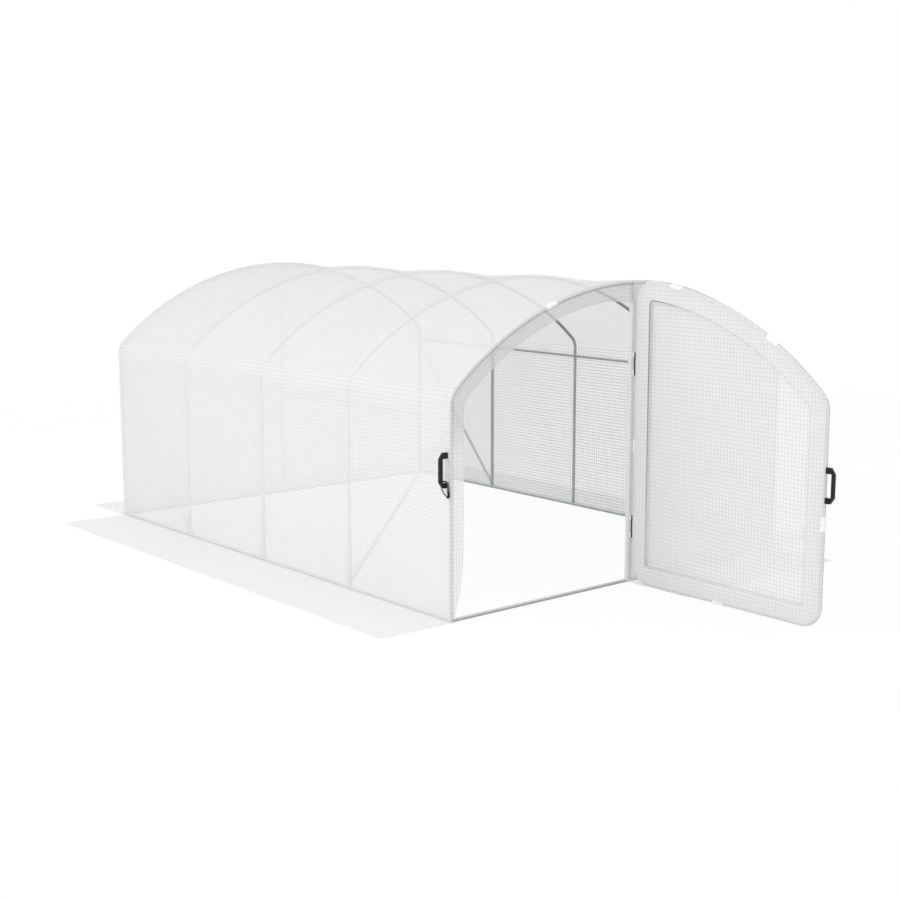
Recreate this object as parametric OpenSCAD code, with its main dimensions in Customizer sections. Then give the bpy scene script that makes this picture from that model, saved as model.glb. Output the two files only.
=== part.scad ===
// Polytunnel greenhouse: five bent tube hoops under a reinforced film cover,
// with ground skirts, a fixed half panel and one hinged half-arch door.
// Millimetres, +Z up. The origin is at the foot of the front centre post.

/* [Tunnel] */
// Width between the post centre lines
tunnel_w = 2975; // [2400:5:3600]
// Length of one bay, hoop to hoop
bay_l = 1000; // [800:5:1300]
// Height where the post line meets the line of the roof arc
shoulder_z = 1337; // [1200:1:1600]
// Height of the roof tube at the ridge
ridge_z = 1932; // [1800:1:2400]
// Bend radius of the tube at the shoulder
bend_r = 130; // [90:5:250]
// Height of the side purlins
purlin_z = 1222; // [1000:1:1230]

/* [Tubes] */
// Outside diameter of hoops and posts
hoop_d = 25; // [22:0.5:32]
// Outside diameter of ground rails and purlins
rail_d = 22; // [18:0.5:25]
// Outside diameter of the diagonal braces
brace_d = 19; // [15:0.5:22]
// Outside diameter of the door frame
door_d = 22; // [18:0.5:28]

/* [Cover] */
// Thickness of the film as modelled
film_t = 2; // [1:0.5:4]
// Width of the film band round the doorway
lip_w = 110; // [60:5:160]
// Height at which the band starts to narrow towards the ground
lip_taper_z = 450; // [200:10:700]
// Width left of the band at the ground
lip_foot_w = 28; // [20:1:60]
// Corner radius of the band's inner edge at the shoulder
lip_r = 110; // [60:5:200]
// Width of the ground skirts
skirt_w = 505; // [200:5:800]
// Corner radius of the ground skirts
skirt_r = 30; // [10:5:80]

/* [Door] */
// Distance from the hinge axis to the free stile of the door
door_w = 1466; // [1000:1:1470]
// Air between a hinge barrel and the edge of the door
door_gap = 5; // [4:0.5:30]
// Drop of the door's shoulder below the tunnel's
door_drop = 12; // [0:1:100]
// Height of the door's arc over the roof tube at the ridge
door_top = 9; // [0:1:30]
// Bend radius of the door frame's corners
door_r = 125; // [60:5:160]
// Air under the door
door_lift = 10; // [8:1:60]
// Width of the hem on the inner face of the door
hem_w = 120; // [60:1:130]
// Angle of the door from shut
door_open = 90; // [0:1:170]

/* [Hardware] */
// Height of a handle
handle_h = 202; // [150:1:260]
// Reach of a handle from its seat
handle_out = 54; // [50:1:100]
// Width of a handle
handle_w = 20; // [14:1:24]
// Thickness of a handle's grip
handle_bar = 17; // [12:1:20]
// Height of a handle's arms
handle_arm = 27; // [20:1:34]
// Chamfer on a handle's outer corners, along the arm
handle_cut = 23; // [10:1:30]
// Chamfer on a handle's outer corners, along the grip
handle_cut_h = 33; // [10:1:45]
// Height of the middle of the jamb handle
jamb_handle_z = 907; // [600:1:1100]
// Distance of the jamb handle behind the front hoop
jamb_handle_y = 12; // [0:1:40]
// Height of the middle of the door handle
door_handle_z = 858; // [600:1:1100]
// Length of a hinge
hinge_h = 145; // [80:1:200]
// Height of the middle of the lower hinge
hinge_low_z = 372; // [250:1:600]
// Height of the middle of the upper hinge
hinge_top_z = 1420; // [1000:1:1500]
// Diameter of a hinge barrel
barrel_d = 10; // [8:0.5:14]
// Diameter of a hinge pin
pin_d = 5; // [3:0.5:6]
// Thickness of the hinge plates
leaf_t = 3; // [2:0.5:5]
// Width of the hinge plate on the post
leaf_w = 12; // [10:1:30]
// Length of a film clip
clip_l = 90; // [50:1:140]
// Thickness of a film clip
clip_t = 3; // [2:0.5:5]
// Depth of a film clip over the film
clip_deep = 30; // [24:1:45]
// Length of the snap hook
hook_l = 105; // [90:1:180]
// Bar of the snap hook at its bows
hook_d = 11; // [8:0.5:13]
// Bar of the snap hook's spine
spine_d = 10; // [5:0.5:12]
// Bar of the snap hook's gate
gate_d = 6; // [4:0.5:8]
// Radius of the snap hook's lower bow
hook_end_r = 7; // [6.5:0.5:12]

/* [Fit] */
// Gap between a piece and its seat
seat_gap = 0.3; // [0.2:0.1:0.6]
// Clearance of the shut door from the cover
door_clear = 5; // [5:0.5:10]
// Overrun of cutting shapes
over = 1; // [0.5:0.5:3]

/* [Hidden] */
curve_fn = 96;
arc_fn = 360;
bays = 4;
reach_shares = 2;
half_w = tunnel_w / 2;
tunnel_l = bay_l * bays;
hoop_r = hoop_d / 2;
// Roof arc through both shoulders and the ridge
rise = ridge_z - shoulder_z;
arc_r = (half_w * half_w + rise * rise) / (2 * rise);
arc_z = ridge_z - arc_r;
// Shoulder bend, touching the post line and the roof arc
bend_x = half_w - bend_r;
arc_tilt = asin(bend_x / (arc_r - bend_r));
bend_z = arc_z + (arc_r - bend_r) * cos(arc_tilt);
// Cover surfaces, measured from the tube centre lines
film_in = hoop_r + seat_gap;
film_out = film_in + film_t;
strips = 6;
strip_turn = 2 * arc_tilt / strips;
cover_l = tunnel_l + 2 * film_out;
taper_x = lip_w - lip_foot_w;
taper_r = (lip_taper_z * lip_taper_z + taper_x * taper_x) / (2 * taper_x);
// Rounded inner corner of the band, touching its upright and its arc
lip_in = hoop_r - lip_w;
lip_x = half_w + lip_in - lip_r;
lip_bend_r = arc_r + lip_in - lip_r;
lip_tilt = asin(lip_x / lip_bend_r);
lip_z = arc_z + lip_bend_r * cos(lip_tilt);
// Door frame, measured from the hinge axis
door_tube_r = door_d / 2;
wrap_in = door_tube_r + seat_gap;
wrap_out = wrap_in + film_t;
door_in = barrel_d / 2 + door_gap + wrap_out;
door_foot_z = door_lift + wrap_out;
door_shoulder_z = shoulder_z - door_drop;
door_ridge_z = ridge_z + door_top;
door_rise = door_ridge_z - door_shoulder_z;
door_arc_r = (door_w * door_w + door_rise * door_rise) / (2 * door_rise);
door_arc_z = door_ridge_z - door_arc_r;
door_bend_r = door_arc_r - door_r;
door_far_x = door_w - door_r;
door_near_x = door_in + door_r;
door_far_tilt = asin(door_far_x / door_bend_r);
door_near_tilt = asin(door_near_x / door_bend_r);
door_far_z = door_arc_z + door_bend_r * cos(door_far_tilt);
door_near_z = door_arc_z + door_bend_r * cos(door_near_tilt);
door_low_z = door_foot_z + door_r;
hem_reach = min(hem_w, door_r + wrap_out - over);
// The shut door stands in front of the cover and the clips on it, which lie apart from its own clips
hinge_y = film_out + 2 * seat_gap + clip_t + door_clear + wrap_out;
// Upper bow of the snap hook, clear of the four edges of the handle's arm as it hangs turned and leaning
hook_turn = 20;
hook_lean = 20;
arm_across = handle_w / 2 / cos(hook_turn);
arm_slope = atan2(handle_arm / 2, arm_across);
bow_skew = sin(hook_turn) * sin(arm_slope);
bow_gap = (hook_d / 2 + seat_gap) * sqrt(1 - bow_skew * bow_skew) / cos(hook_turn);
bow_r = norm([arm_across, handle_arm / 2]) + bow_gap;
hook_run = hook_l - bow_r - hook_end_r - hook_d;
hook_flare = asin((bow_r - hook_end_r) / hook_run);
post_cope_share = 0.6;
knuckle_share = 0.22;
saddle_share = 0.5;
web_t = pin_d;
front_clip_turn = 19;
door_clip_turns = [9.5, 31.5];
door_clip_z = 630;
door_clip_x = 735;
hinge_clip_z = 900;

// One node to draw, or all of them

// Stands a flat outline upright, its thickness towards the front
module upright() {
    rotate([90, 0, 0]) children();
}

// Sector of a disc between two angles
module pie(radius, from, to) {
    far = radius * reach_shares;
    mid = (from + to) / 2;
    intersection() {
        circle(r = radius, $fn = arc_fn);
        polygon([
            [0, 0],
            far * [cos(from), sin(from)],
            far * [cos(mid), sin(mid)],
            far * [cos(to), sin(to)]
        ]);
    }
}

// Part of a flat ring between two angles
module ring_part(inner, outer, from, to) {
    difference() {
        pie(outer, from, to);
        circle(r = inner, $fn = arc_fn);
    }
}

// Turn that takes up a seat gap at a radius
function gap_turn(radius) = seat_gap / radius * 180 / PI;

// Section bent round in the plane of the drawing, short of its neighbours by a seat gap
module bent(radius, from, to) {
    trim = gap_turn(radius) / 2;
    rotate([0, 0, from + trim])
        rotate_extrude(angle = to - from - 2 * trim, $fn = arc_fn) translate([radius, 0]) children();
}

// Section run straight down the drawing from a point, short of its neighbours by a seat gap
module straight(length) {
    translate([0, -seat_gap / 2, 0]) rotate([90, 0, 0]) linear_extrude(height = length - seat_gap) children();
}

// Section of a round tube
module tube_section(d) {
    circle(d = d, $fn = curve_fn);
}

// Right half of the tunnel's outline, grown from the tube centre line
module half_outline(grow) {
    square([half_w + grow, bend_z]);
    translate([bend_x, bend_z]) pie(bend_r + grow, 0, 90 - arc_tilt);
    intersection() {
        translate([0, arc_z]) pie(arc_r + grow, 90 - arc_tilt, 90);
        square([half_w + grow, ridge_z + grow + over]);
    }
}

// Whole outline of an end of the tunnel
module end_outline(grow) {
    half_outline(grow);
    mirror([1, 0]) half_outline(grow);
}

// Repeats a piece at every hoop
module at_hoops() {
    for (i = [0 : bays]) translate([0, i * bay_l, 0]) children();
}

// Posts of one side
module post_row(x) {
    at_hoops() translate([x, 0, 0]) cylinder(d = hoop_d, h = bend_z - seat_gap, $fn = curve_fn);
}

// Roof tube with both shoulder bends, standing on the posts
module hoop_arch(y) {
    translate([0, y, 0]) upright() {
        translate([0, arc_z, 0]) bent(arc_r, 90 - arc_tilt, 90 + arc_tilt) tube_section(hoop_d);
        translate([bend_x, bend_z, 0]) bent(bend_r, 0, 90 - arc_tilt) tube_section(hoop_d);
        translate([-bend_x, bend_z, 0]) bent(bend_r, 90 + arc_tilt, 180) tube_section(hoop_d);
    }
}

// Upright tube under the ridge, hollowed to the roof tube
module centre_post(y) {
    translate([0, y, 0]) difference() {
        cylinder(d = hoop_d, h = ridge_z - hoop_r * post_cope_share, $fn = curve_fn);
        translate([0, 0, ridge_z]) rotate([0, 90, 0])
            cylinder(r = film_in, h = hoop_d + 2 * over, center = true, $fn = curve_fn);
    }
}

// Tube along +Y between two posts, hollowed to them at both ends
module rail_between(length, d) {
    difference() {
        rotate([-90, 0, 0]) cylinder(d = d, h = length, $fn = curve_fn);
        for (y = [0, length])
            translate([0, y, 0]) cylinder(r = film_in, h = hoop_d + 2 * over, center = true, $fn = curve_fn);
    }
}

// Row of rails between the posts of one side
module rail_row(x, z) {
    for (i = [0 : bays - 1]) translate([x, i * bay_l, z]) rail_between(bay_l, rail_d);
}

// Bars across one end, either side of its centre post, hollowed to the ground rails at the corners
module end_bars(y) {
    translate([0, y, rail_d / 2]) difference() {
        for (turn = [-90, 90]) rotate([0, 0, turn]) rail_between(half_w, rail_d);
        for (x = [-half_w, half_w])
            translate([x, 0, 0]) rotate([90, 0, 0])
                cylinder(d = rail_d + 2 * seat_gap, h = bay_l, center = true, $fn = curve_fn);
    }
}

// Brace in the plane of the wall, from the foot of one post to the purlin at the next
module brace(y_foot, y_top) {
    low_z = rail_d + brace_d;
    high_z = purlin_z - rail_d - brace_d;
    run = y_top - y_foot;
    lean = atan2(run, high_z - low_z);
    difference() {
        intersection() {
            translate([0, y_foot, low_z]) rotate([-lean, 0, 0])
                cylinder(d = brace_d, h = norm([run, high_z - low_z]), $fn = curve_fn);
            translate([-brace_d, min(y_foot, y_top), 0]) cube([2 * brace_d, abs(run), purlin_z]);
        }
        for (y = [y_foot, y_top])
            translate([0, y, 0]) cylinder(r = film_in, h = purlin_z, $fn = curve_fn);
    }
}

// Braces of one side, at the first and last bay
module brace_pair(x) {
    translate([x, 0, 0]) {
        brace(bay_l, 0);
        brace(tunnel_l - bay_l, tunnel_l);
    }
}

// Runs a flat outline the length of the cover
module cover_run() {
    translate([0, tunnel_l + film_out, 0]) upright() linear_extrude(height = cover_l) children();
}

// Right wall of the cover
module cover_wall() {
    cover_run() translate([half_w + film_in, 0]) square([film_t, bend_z]);
}

// Film bent over the right shoulders of the hoops
module cover_shoulder() {
    trim = gap_turn(bend_r);
    cover_run() translate([bend_x, bend_z])
        ring_part(bend_r + film_in, bend_r + film_out, trim, 90 - arc_tilt - trim);
}

// One length of the roof film, counted from the right
module roof_strip(i) {
    from = 90 - arc_tilt + i * strip_turn;
    trim = gap_turn(arc_r) / 2;
    cover_run() translate([0, arc_z])
        ring_part(arc_r + film_in, arc_r + film_out, from + trim, from + strip_turn - trim);
}

// Film standing in the plane of the front end
module front_sheet() {
    translate([0, -film_in, 0]) upright() linear_extrude(height = film_t) children();
}

// Flat film with two rounded corners on its outer edge, running along +Y from the wall
module skirt(length) {
    difference() {
        square([skirt_w, length]);
        for (side = [0, 1])
            translate([skirt_w, side * length]) mirror([0, side])
                difference() {
                    translate([-skirt_r, -over]) square([skirt_r + over, skirt_r + over]);
                    translate([-skirt_r, skirt_r]) circle(r = skirt_r, $fn = curve_fn);
                }
    }
}

// Handle standing up from z = 0 and reaching along +X from its seat at x = 0, its arms run back by a root
module handle(root) {
    neck = handle_out - handle_bar;
    translate([0, handle_w / 2, 0]) upright() linear_extrude(height = handle_w) difference() {
        polygon([
            [-root, 0],
            [handle_out - handle_cut, 0],
            [handle_out, handle_cut_h],
            [handle_out, handle_h - handle_cut_h],
            [handle_out - handle_cut, handle_h],
            [-root, handle_h]
        ]);
        translate([-root - over, handle_arm]) square([root + neck + over, handle_h - 2 * handle_arm]);
    }
}

// Places a piece of the door, drawn shut with the hinge axis at x = 0 and the leaf towards -X
module on_door() {
    translate([0, -hinge_y, 0]) rotate([0, 0, door_open]) children();
}

// Outline of the door grown from its tube centre line
module door_outline(grow) {
    corner = door_r + grow;
    mirror([1, 0]) {
        translate([0, door_arc_z]) intersection() {
            pie(door_arc_r + grow, 90 - door_far_tilt, 90 - door_near_tilt);
            translate([door_near_x, door_low_z - door_arc_z]) square([door_w, door_ridge_z]);
        }
        polygon([
            [door_near_x, door_low_z],
            [door_far_x, door_low_z],
            [door_far_x, door_far_z],
            [door_near_x, door_near_z]
        ]);
        translate([door_far_x, door_low_z]) square([corner, door_far_z - door_low_z]);
        translate([door_near_x - corner, door_low_z]) square([corner, door_near_z - door_low_z]);
        translate([door_near_x, door_low_z - corner]) square([door_far_x - door_near_x, corner]);
        translate([door_far_x, door_far_z]) pie(corner, 0, 90 - door_far_tilt);
        translate([door_near_x, door_near_z]) pie(corner, 90 - door_near_tilt, 180);
        translate([door_far_x, door_low_z]) pie(corner, 270, 360);
        translate([door_near_x, door_low_z]) pie(corner, 180, 270);
    }
}

// Sweeps a section round the door's centre line, +X outwards and +Y towards the door's outer face
module round_door() {
    upright() mirror([1, 0, 0]) {
        translate([0, door_arc_z, 0]) bent(door_arc_r, 90 - door_far_tilt, 90 - door_near_tilt) children();
        translate([door_far_x, door_far_z, 0]) bent(door_r, 0, 90 - door_far_tilt) children();
        translate([door_near_x, door_near_z, 0]) bent(door_r, 90 - door_near_tilt, 180) children();
        translate([door_near_x, door_low_z, 0]) bent(door_r, 180, 270) children();
        translate([door_far_x, door_low_z, 0]) bent(door_r, 270, 360) children();
        translate([door_w, door_far_z, 0]) straight(door_far_z - door_low_z) children();
        translate([door_in, door_low_z, 0]) rotate([0, 0, 180]) straight(door_near_z - door_low_z) children();
        translate([door_far_x, door_foot_z, 0]) rotate([0, 0, -90]) straight(door_far_x - door_near_x) children();
    }
}

// Section of the door's hem: film rolled round the tube and laid as a flap on the inner face
module hem_section() {
    difference() {
        circle(r = wrap_out, $fn = curve_fn);
        circle(r = wrap_in, $fn = curve_fn);
        translate([-wrap_out - over, -wrap_in]) square([wrap_out + over, wrap_in + wrap_out + over]);
    }
    translate([wrap_out - hem_reach, -wrap_out]) square([hem_reach - wrap_out, film_t]);
}

// Rounded channel of a clip that grips the edge of the door, opening towards -X
module door_clip_profile() {
    grip = wrap_out + seat_gap;
    face = grip + clip_t;
    arm = clip_deep - face;
    difference() {
        union() {
            circle(r = face, $fn = curve_fn);
            translate([-arm, -face]) square([arm, 2 * face]);
        }
        circle(r = grip, $fn = curve_fn);
        translate([-face - over, -grip]) square([face + over, 2 * grip]);
    }
}

// Angle of a clip that grips the front edge of the cover
module hoop_clip_profile() {
    face = film_out + seat_gap;
    difference() {
        translate([face + clip_t - clip_deep, face + clip_t - clip_deep]) square([clip_deep, clip_deep]);
        translate([face - clip_deep, face - clip_deep]) square([clip_deep, clip_deep]);
    }
}

module posts_left() color("#9a9da0") post_row(-half_w);
module posts_right() color("#9a9da0") post_row(half_w);
module hoop_front() color("#9a9da0") hoop_arch(0);
module hoop_second() color("#9a9da0") hoop_arch(bay_l);
module hoop_middle() color("#9a9da0") hoop_arch(bay_l * 2);
module hoop_fourth() color("#9a9da0") hoop_arch(bay_l * 3);
module hoop_back() color("#9a9da0") hoop_arch(tunnel_l);
module centre_post_front() color("#9a9da0") centre_post(0);
module centre_post_back() color("#9a9da0") centre_post(tunnel_l);
module ground_rails_left() color("#9a9da0") rail_row(-half_w, rail_d / 2);
module ground_rails_right() color("#9a9da0") rail_row(half_w, rail_d / 2);
module threshold_bar() color("#9a9da0") end_bars(0);
module back_ground_bar() color("#9a9da0") end_bars(tunnel_l);
module purlins_left() color("#9a9da0") rail_row(-half_w, purlin_z);
module purlins_right() color("#9a9da0") rail_row(half_w, purlin_z);
module braces_left() color("#9a9da0") brace_pair(-half_w);
module braces_right() color("#9a9da0") brace_pair(half_w);

module cover_wall_left() color("#eef0f0") mirror([1, 0, 0]) cover_wall();
module cover_wall_right() color("#eef0f0") cover_wall();
module cover_shoulder_left() color("#eef0f0") mirror([1, 0, 0]) cover_shoulder();
module cover_shoulder_right() color("#eef0f0") cover_shoulder();
module cover_roof_1() color("#eef0f0") roof_strip(0);
module cover_roof_2() color("#eef0f0") roof_strip(1);
module cover_roof_3() color("#eef0f0") roof_strip(2);
module cover_roof_4() color("#eef0f0") roof_strip(3);
module cover_roof_5() color("#eef0f0") roof_strip(4);
module cover_roof_6() color("#eef0f0") roof_strip(5);

module cover_back() color("#eef0f0")
    translate([0, tunnel_l + film_out, 0]) upright() linear_extrude(height = film_t) end_outline(hoop_r);

module cover_front() color("#eef0f0") front_sheet() half_outline(hoop_r);

// Filling of the band's inner corner at the shoulder, outside its rounded edge
module lip_corner() {
    side = lip_r + lip_w / 2;
    mid = (90 - arc_tilt) / 2;
    difference() {
        polygon([
            [lip_x, lip_z],
            [lip_x + side, lip_z],
            [bend_x, bend_z] + bend_r * [cos(mid), sin(mid)],
            [lip_x, lip_z] + side * [sin(lip_tilt), cos(lip_tilt)]
        ]);
        translate([lip_x, lip_z]) circle(r = lip_r, $fn = arc_fn);
    }
}

module cover_lip() color("#eef0f0") front_sheet() mirror([1, 0]) {
    inner_x = half_w + lip_in;
    difference() {
        translate([inner_x, 0]) square([lip_w, bend_z - seat_gap]);
        difference() {
            translate([inner_x - over, -over]) square([taper_x + over, lip_taper_z + over]);
            translate([inner_x + taper_r, lip_taper_z]) circle(r = taper_r, $fn = arc_fn);
        }
    }
    translate([bend_x, bend_z])
        ring_part(bend_r + lip_in, bend_r + hoop_r, 0, 90 - arc_tilt - gap_turn(bend_r));
    translate([0, arc_z]) ring_part(arc_r + lip_in, arc_r + hoop_r, 90 - arc_tilt, 90 - gap_turn(arc_r));
    lip_corner();
}

module skirt_left() color("#eef0f0")
    translate([-half_w - film_out - seat_gap, -film_out, 0]) mirror([1, 0, 0])
        linear_extrude(height = film_t) skirt(cover_l);

module skirt_right() color("#eef0f0")
    translate([half_w + film_out + seat_gap, -film_out, 0]) linear_extrude(height = film_t) skirt(cover_l);

module skirt_back() color("#eef0f0")
    translate([half_w + film_out, tunnel_l + film_out + seat_gap, 0]) rotate([0, 0, 90])
        linear_extrude(height = film_t) skirt(tunnel_w + 2 * film_out);

module skirt_front() color("#eef0f0")
    translate([0, -film_out - seat_gap, 0]) rotate([0, 0, -90])
        linear_extrude(height = film_t) skirt(half_w + film_out);

module hoop_clips() color("#fafafa") {
    spread = clip_l / arc_r * 180 / PI;
    upright() translate([0, arc_z, 0]) rotate([0, 0, 90 + front_clip_turn - spread / 2])
        rotate_extrude(angle = spread, $fn = arc_fn) translate([arc_r, 0]) hoop_clip_profile();
}

module jamb_handle() color("#262728")
    translate([-half_w - film_out - seat_gap, jamb_handle_y, jamb_handle_z - handle_h / 2])
        mirror([1, 0, 0]) handle(0);

// Straight side of the snap hook between its bows, on the right
module hook_leg(d) {
    rotate([0, 0, -hook_flare]) translate([bow_r, over, 0]) rotate([90, 0, 0])
        cylinder(d = d, h = hook_run * cos(hook_flare) + 2 * over, $fn = curve_fn);
}

module snap_hook() color("#6d7073") {
    arm_x = half_w + film_out + seat_gap + (handle_out - handle_bar) / 2;
    arm_z = jamb_handle_z - (handle_h - handle_arm) / 2;
    translate([-arm_x, jamb_handle_y, arm_z])
        rotate([0, 0, hook_turn - 90]) upright() rotate([0, 0, hook_lean]) {
            rotate([0, 0, -hook_flare])
                rotate_extrude(angle = 180 + 2 * hook_flare, $fn = curve_fn)
                    translate([bow_r, 0]) tube_section(hook_d);
            translate([0, -hook_run, 0]) rotate([0, 0, 180 + hook_flare])
                rotate_extrude(angle = 180 - 2 * hook_flare, $fn = curve_fn)
                    translate([hook_end_r, 0]) tube_section(hook_d);
            hook_leg(spine_d);
            mirror([1, 0, 0]) hook_leg(gate_d);
        }
}

module hinge_post_leaves() color("#2b2c2e")
    for (z = [hinge_low_z, hinge_top_z]) translate([0, 0, z - hinge_h / 2]) {
        plate_y = -film_out - seat_gap - leaf_t;
        knuckle_h = hinge_h * knuckle_share;
        translate([-leaf_w / 2, plate_y, 0]) cube([leaf_w, leaf_t, hinge_h]);
        for (low = [0, hinge_h - knuckle_h]) {
            translate([-web_t / 2, -hinge_y, low]) cube([web_t, hinge_y + plate_y + over, knuckle_h]);
            translate([0, -hinge_y, low]) cylinder(d = barrel_d, h = knuckle_h, $fn = curve_fn);
        }
        translate([0, -hinge_y, 0]) cylinder(d = pin_d, h = hinge_h, $fn = curve_fn);
    }

module hinge_door_leaves() color("#2b2c2e")
    for (z = [hinge_low_z, hinge_top_z]) on_door() translate([0, 0, z]) {
        leaf_h = hinge_h - 2 * (hinge_h * knuckle_share + seat_gap);
        difference() {
            union() {
                cylinder(d = barrel_d, h = leaf_h, center = true, $fn = curve_fn);
                translate([-door_in, -barrel_d / 2, -leaf_h / 2]) cube([door_in, barrel_d, leaf_h]);
            }
            translate([-door_in, 0, 0])
                cylinder(r = wrap_out + seat_gap, h = hinge_h, center = true, $fn = curve_fn);
            cylinder(d = pin_d + 2 * seat_gap, h = hinge_h, center = true, $fn = curve_fn);
        }
    }

module door_frame() color("#9a9da0") on_door() round_door() tube_section(door_d);

module door_film() color("#eef0f0")
    on_door() translate([0, -wrap_in, 0]) upright() linear_extrude(height = film_t) door_outline(-seat_gap);

module door_hem() color("#eef0f0") on_door() round_door() hem_section();

module door_clips() color("#fafafa") on_door() {
    spread = clip_l / door_arc_r * 180 / PI;
    for (turn = door_clip_turns)
        upright() translate([0, door_arc_z, 0]) rotate([0, 0, 90 + turn - spread / 2])
            rotate_extrude(angle = spread, $fn = arc_fn) translate([door_arc_r, 0]) door_clip_profile();
    translate([-door_w, 0, door_clip_z - clip_l / 2]) mirror([1, 0, 0])
        linear_extrude(height = clip_l) door_clip_profile();
    translate([-door_in, 0, hinge_clip_z - clip_l / 2]) linear_extrude(height = clip_l) door_clip_profile();
    translate([-door_clip_x - clip_l / 2, 0, door_foot_z]) rotate([0, 90, 0])
        linear_extrude(height = clip_l) door_clip_profile();
}

module door_handle() color("#262728") on_door() {
    seat = wrap_out + seat_gap;
    translate([-door_w, 0, door_handle_z - handle_h / 2]) difference() {
        mirror([1, 0, 0]) translate([seat, 0, 0]) handle(seat * saddle_share);
        translate([0, 0, -over]) cylinder(r = seat, h = handle_h + 2 * over, $fn = curve_fn);
    }
}

posts_left();
posts_right();
hoop_front();
hoop_second();
hoop_middle();
hoop_fourth();
hoop_back();
centre_post_front();
centre_post_back();
ground_rails_left();
ground_rails_right();
threshold_bar();
back_ground_bar();
purlins_left();
purlins_right();
braces_left();
braces_right();
cover_wall_left();
cover_wall_right();
cover_shoulder_left();
cover_shoulder_right();
cover_roof_1();
cover_roof_2();
cover_roof_3();
cover_roof_4();
cover_roof_5();
cover_roof_6();
cover_back();
cover_front();
cover_lip();
skirt_left();
skirt_right();
skirt_back();
skirt_front();
hoop_clips();
jamb_handle();
snap_hook();
hinge_post_leaves();
hinge_door_leaves();
door_frame();
door_film();
door_hem();
door_clips();
door_handle();
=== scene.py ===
"""Polytunnel greenhouse: the film cover, door, fittings and studio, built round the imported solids."""

import logging
import math
from dataclasses import dataclass, field
from enum import Enum
from typing import Any, Callable, Sequence

import bmesh
import bpy
import numpy as np
from mathutils import Matrix, Vector

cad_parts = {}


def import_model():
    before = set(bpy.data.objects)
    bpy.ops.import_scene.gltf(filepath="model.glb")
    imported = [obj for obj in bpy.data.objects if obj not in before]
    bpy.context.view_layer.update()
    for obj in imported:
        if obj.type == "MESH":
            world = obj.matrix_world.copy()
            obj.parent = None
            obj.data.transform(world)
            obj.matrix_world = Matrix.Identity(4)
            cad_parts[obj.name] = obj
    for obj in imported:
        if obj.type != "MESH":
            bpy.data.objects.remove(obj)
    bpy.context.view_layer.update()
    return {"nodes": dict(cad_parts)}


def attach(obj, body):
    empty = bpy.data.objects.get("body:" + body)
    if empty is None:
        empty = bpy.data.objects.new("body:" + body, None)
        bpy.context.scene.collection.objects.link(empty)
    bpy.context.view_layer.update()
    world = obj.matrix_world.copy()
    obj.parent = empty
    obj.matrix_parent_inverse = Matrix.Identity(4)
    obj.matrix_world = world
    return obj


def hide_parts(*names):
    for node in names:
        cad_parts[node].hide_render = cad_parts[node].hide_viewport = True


MM = 0.001
FILM_T = 0.8 * MM
SHARP_FILM, SHARP_GRIP, SHARP_ROUND = 40.0, 40.0, 60.0  # degrees over which an edge stays sharp
log = logging.getLogger("polytunnel")

Point2 = tuple[float, float]
Point3 = tuple[float, float, float]
Ray = tuple[Point3, Point3]
Place = Callable[[float, float, float], Point3]
Face = tuple[int, ...]
Material = bpy.types.Material
Object = bpy.types.Object
Tree = bpy.types.NodeTree
Socket = bpy.types.NodeSocket


class Body(Enum):
    """Bodies that a piece can ride on."""

    TUNNEL = "tunnel"
    DOOR = "door"


class Hold(Enum):
    """How a sheet of film is held."""

    STRETCHED = "stretched"
    LAID = "laid"


class Slot(Enum):
    """Material slots of the record."""

    FILM = "film"
    TUBE = "galvanised_tube"
    CLIP = "clip_plastic"
    GRIP = "black_plastic"
    HINGE = "black_metal"
    HOOK = "hook_steel"


# Nodes


def linear(hex_colour: str) -> tuple[float, float, float, float]:
    """Turns an sRGB hex colour to linear RGBA.

    Args:
        hex_colour: colour as "#rrggbb".

    Returns:
        Linear red, green, blue and an alpha of 1.
    """
    parts = [int(hex_colour[i : i + 2], 16) / 255 for i in (1, 3, 5)]
    lin = [c / 12.92 if c <= 0.04045 else ((c + 0.055) / 1.055) ** 2.4 for c in parts]
    return (lin[0], lin[1], lin[2], 1.0)


def add_node(tree: Tree, kind: str, inputs: dict | None = None, settings: dict | None = None) -> Any:
    """Adds a node with its settings, its constants and its links.

    Args:
        tree: node tree to add to.
        kind: Blender's identifier of the node.
        inputs: socket name or index to a constant, or to the socket that feeds it.
        settings: attributes to set on the node, before its inputs.

    Returns:
        The outputs of the new node.
    """
    node = tree.nodes.new(kind)
    for key, value in (settings or {}).items():
        setattr(node, key, value)
    for key, value in (inputs or {}).items():
        if isinstance(value, Socket):
            tree.links.new(value, node.inputs[key])
        else:
            node.inputs[key].default_value = value
    return node.outputs


def maths(tree: Tree, operation: str, first: Any, second: Any, clamp: bool = False) -> Socket:
    """Adds a calculation with two constants or sockets, held between 0 and 1 if asked."""
    settings = {"operation": operation, "use_clamp": clamp}
    return add_node(tree, "ShaderNodeMath", {0: first, 1: second}, settings)[0]


def ranged(
    tree: Tree, value: Socket, start: Point2 = (0.0, 1.0), end: Point2 = (0.0, 1.0), eased: bool = False
) -> Socket:
    """Maps a value from one range to another, held at its ends.

    Args:
        tree: tree to add to.
        value: socket with the value.
        start: its range.
        end: range of the result.
        eased: whether the ends are eased.

    Returns:
        Socket with the result.
    """
    names = ("From Min", "From Max", "To Min", "To Max")
    inputs = {"Value": value, **dict(zip(names, (*start, *end)))}
    settings = {"interpolation_type": "SMOOTHSTEP" if eased else "LINEAR"}
    return add_node(tree, "ShaderNodeMapRange", inputs, settings)[0]


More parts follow.
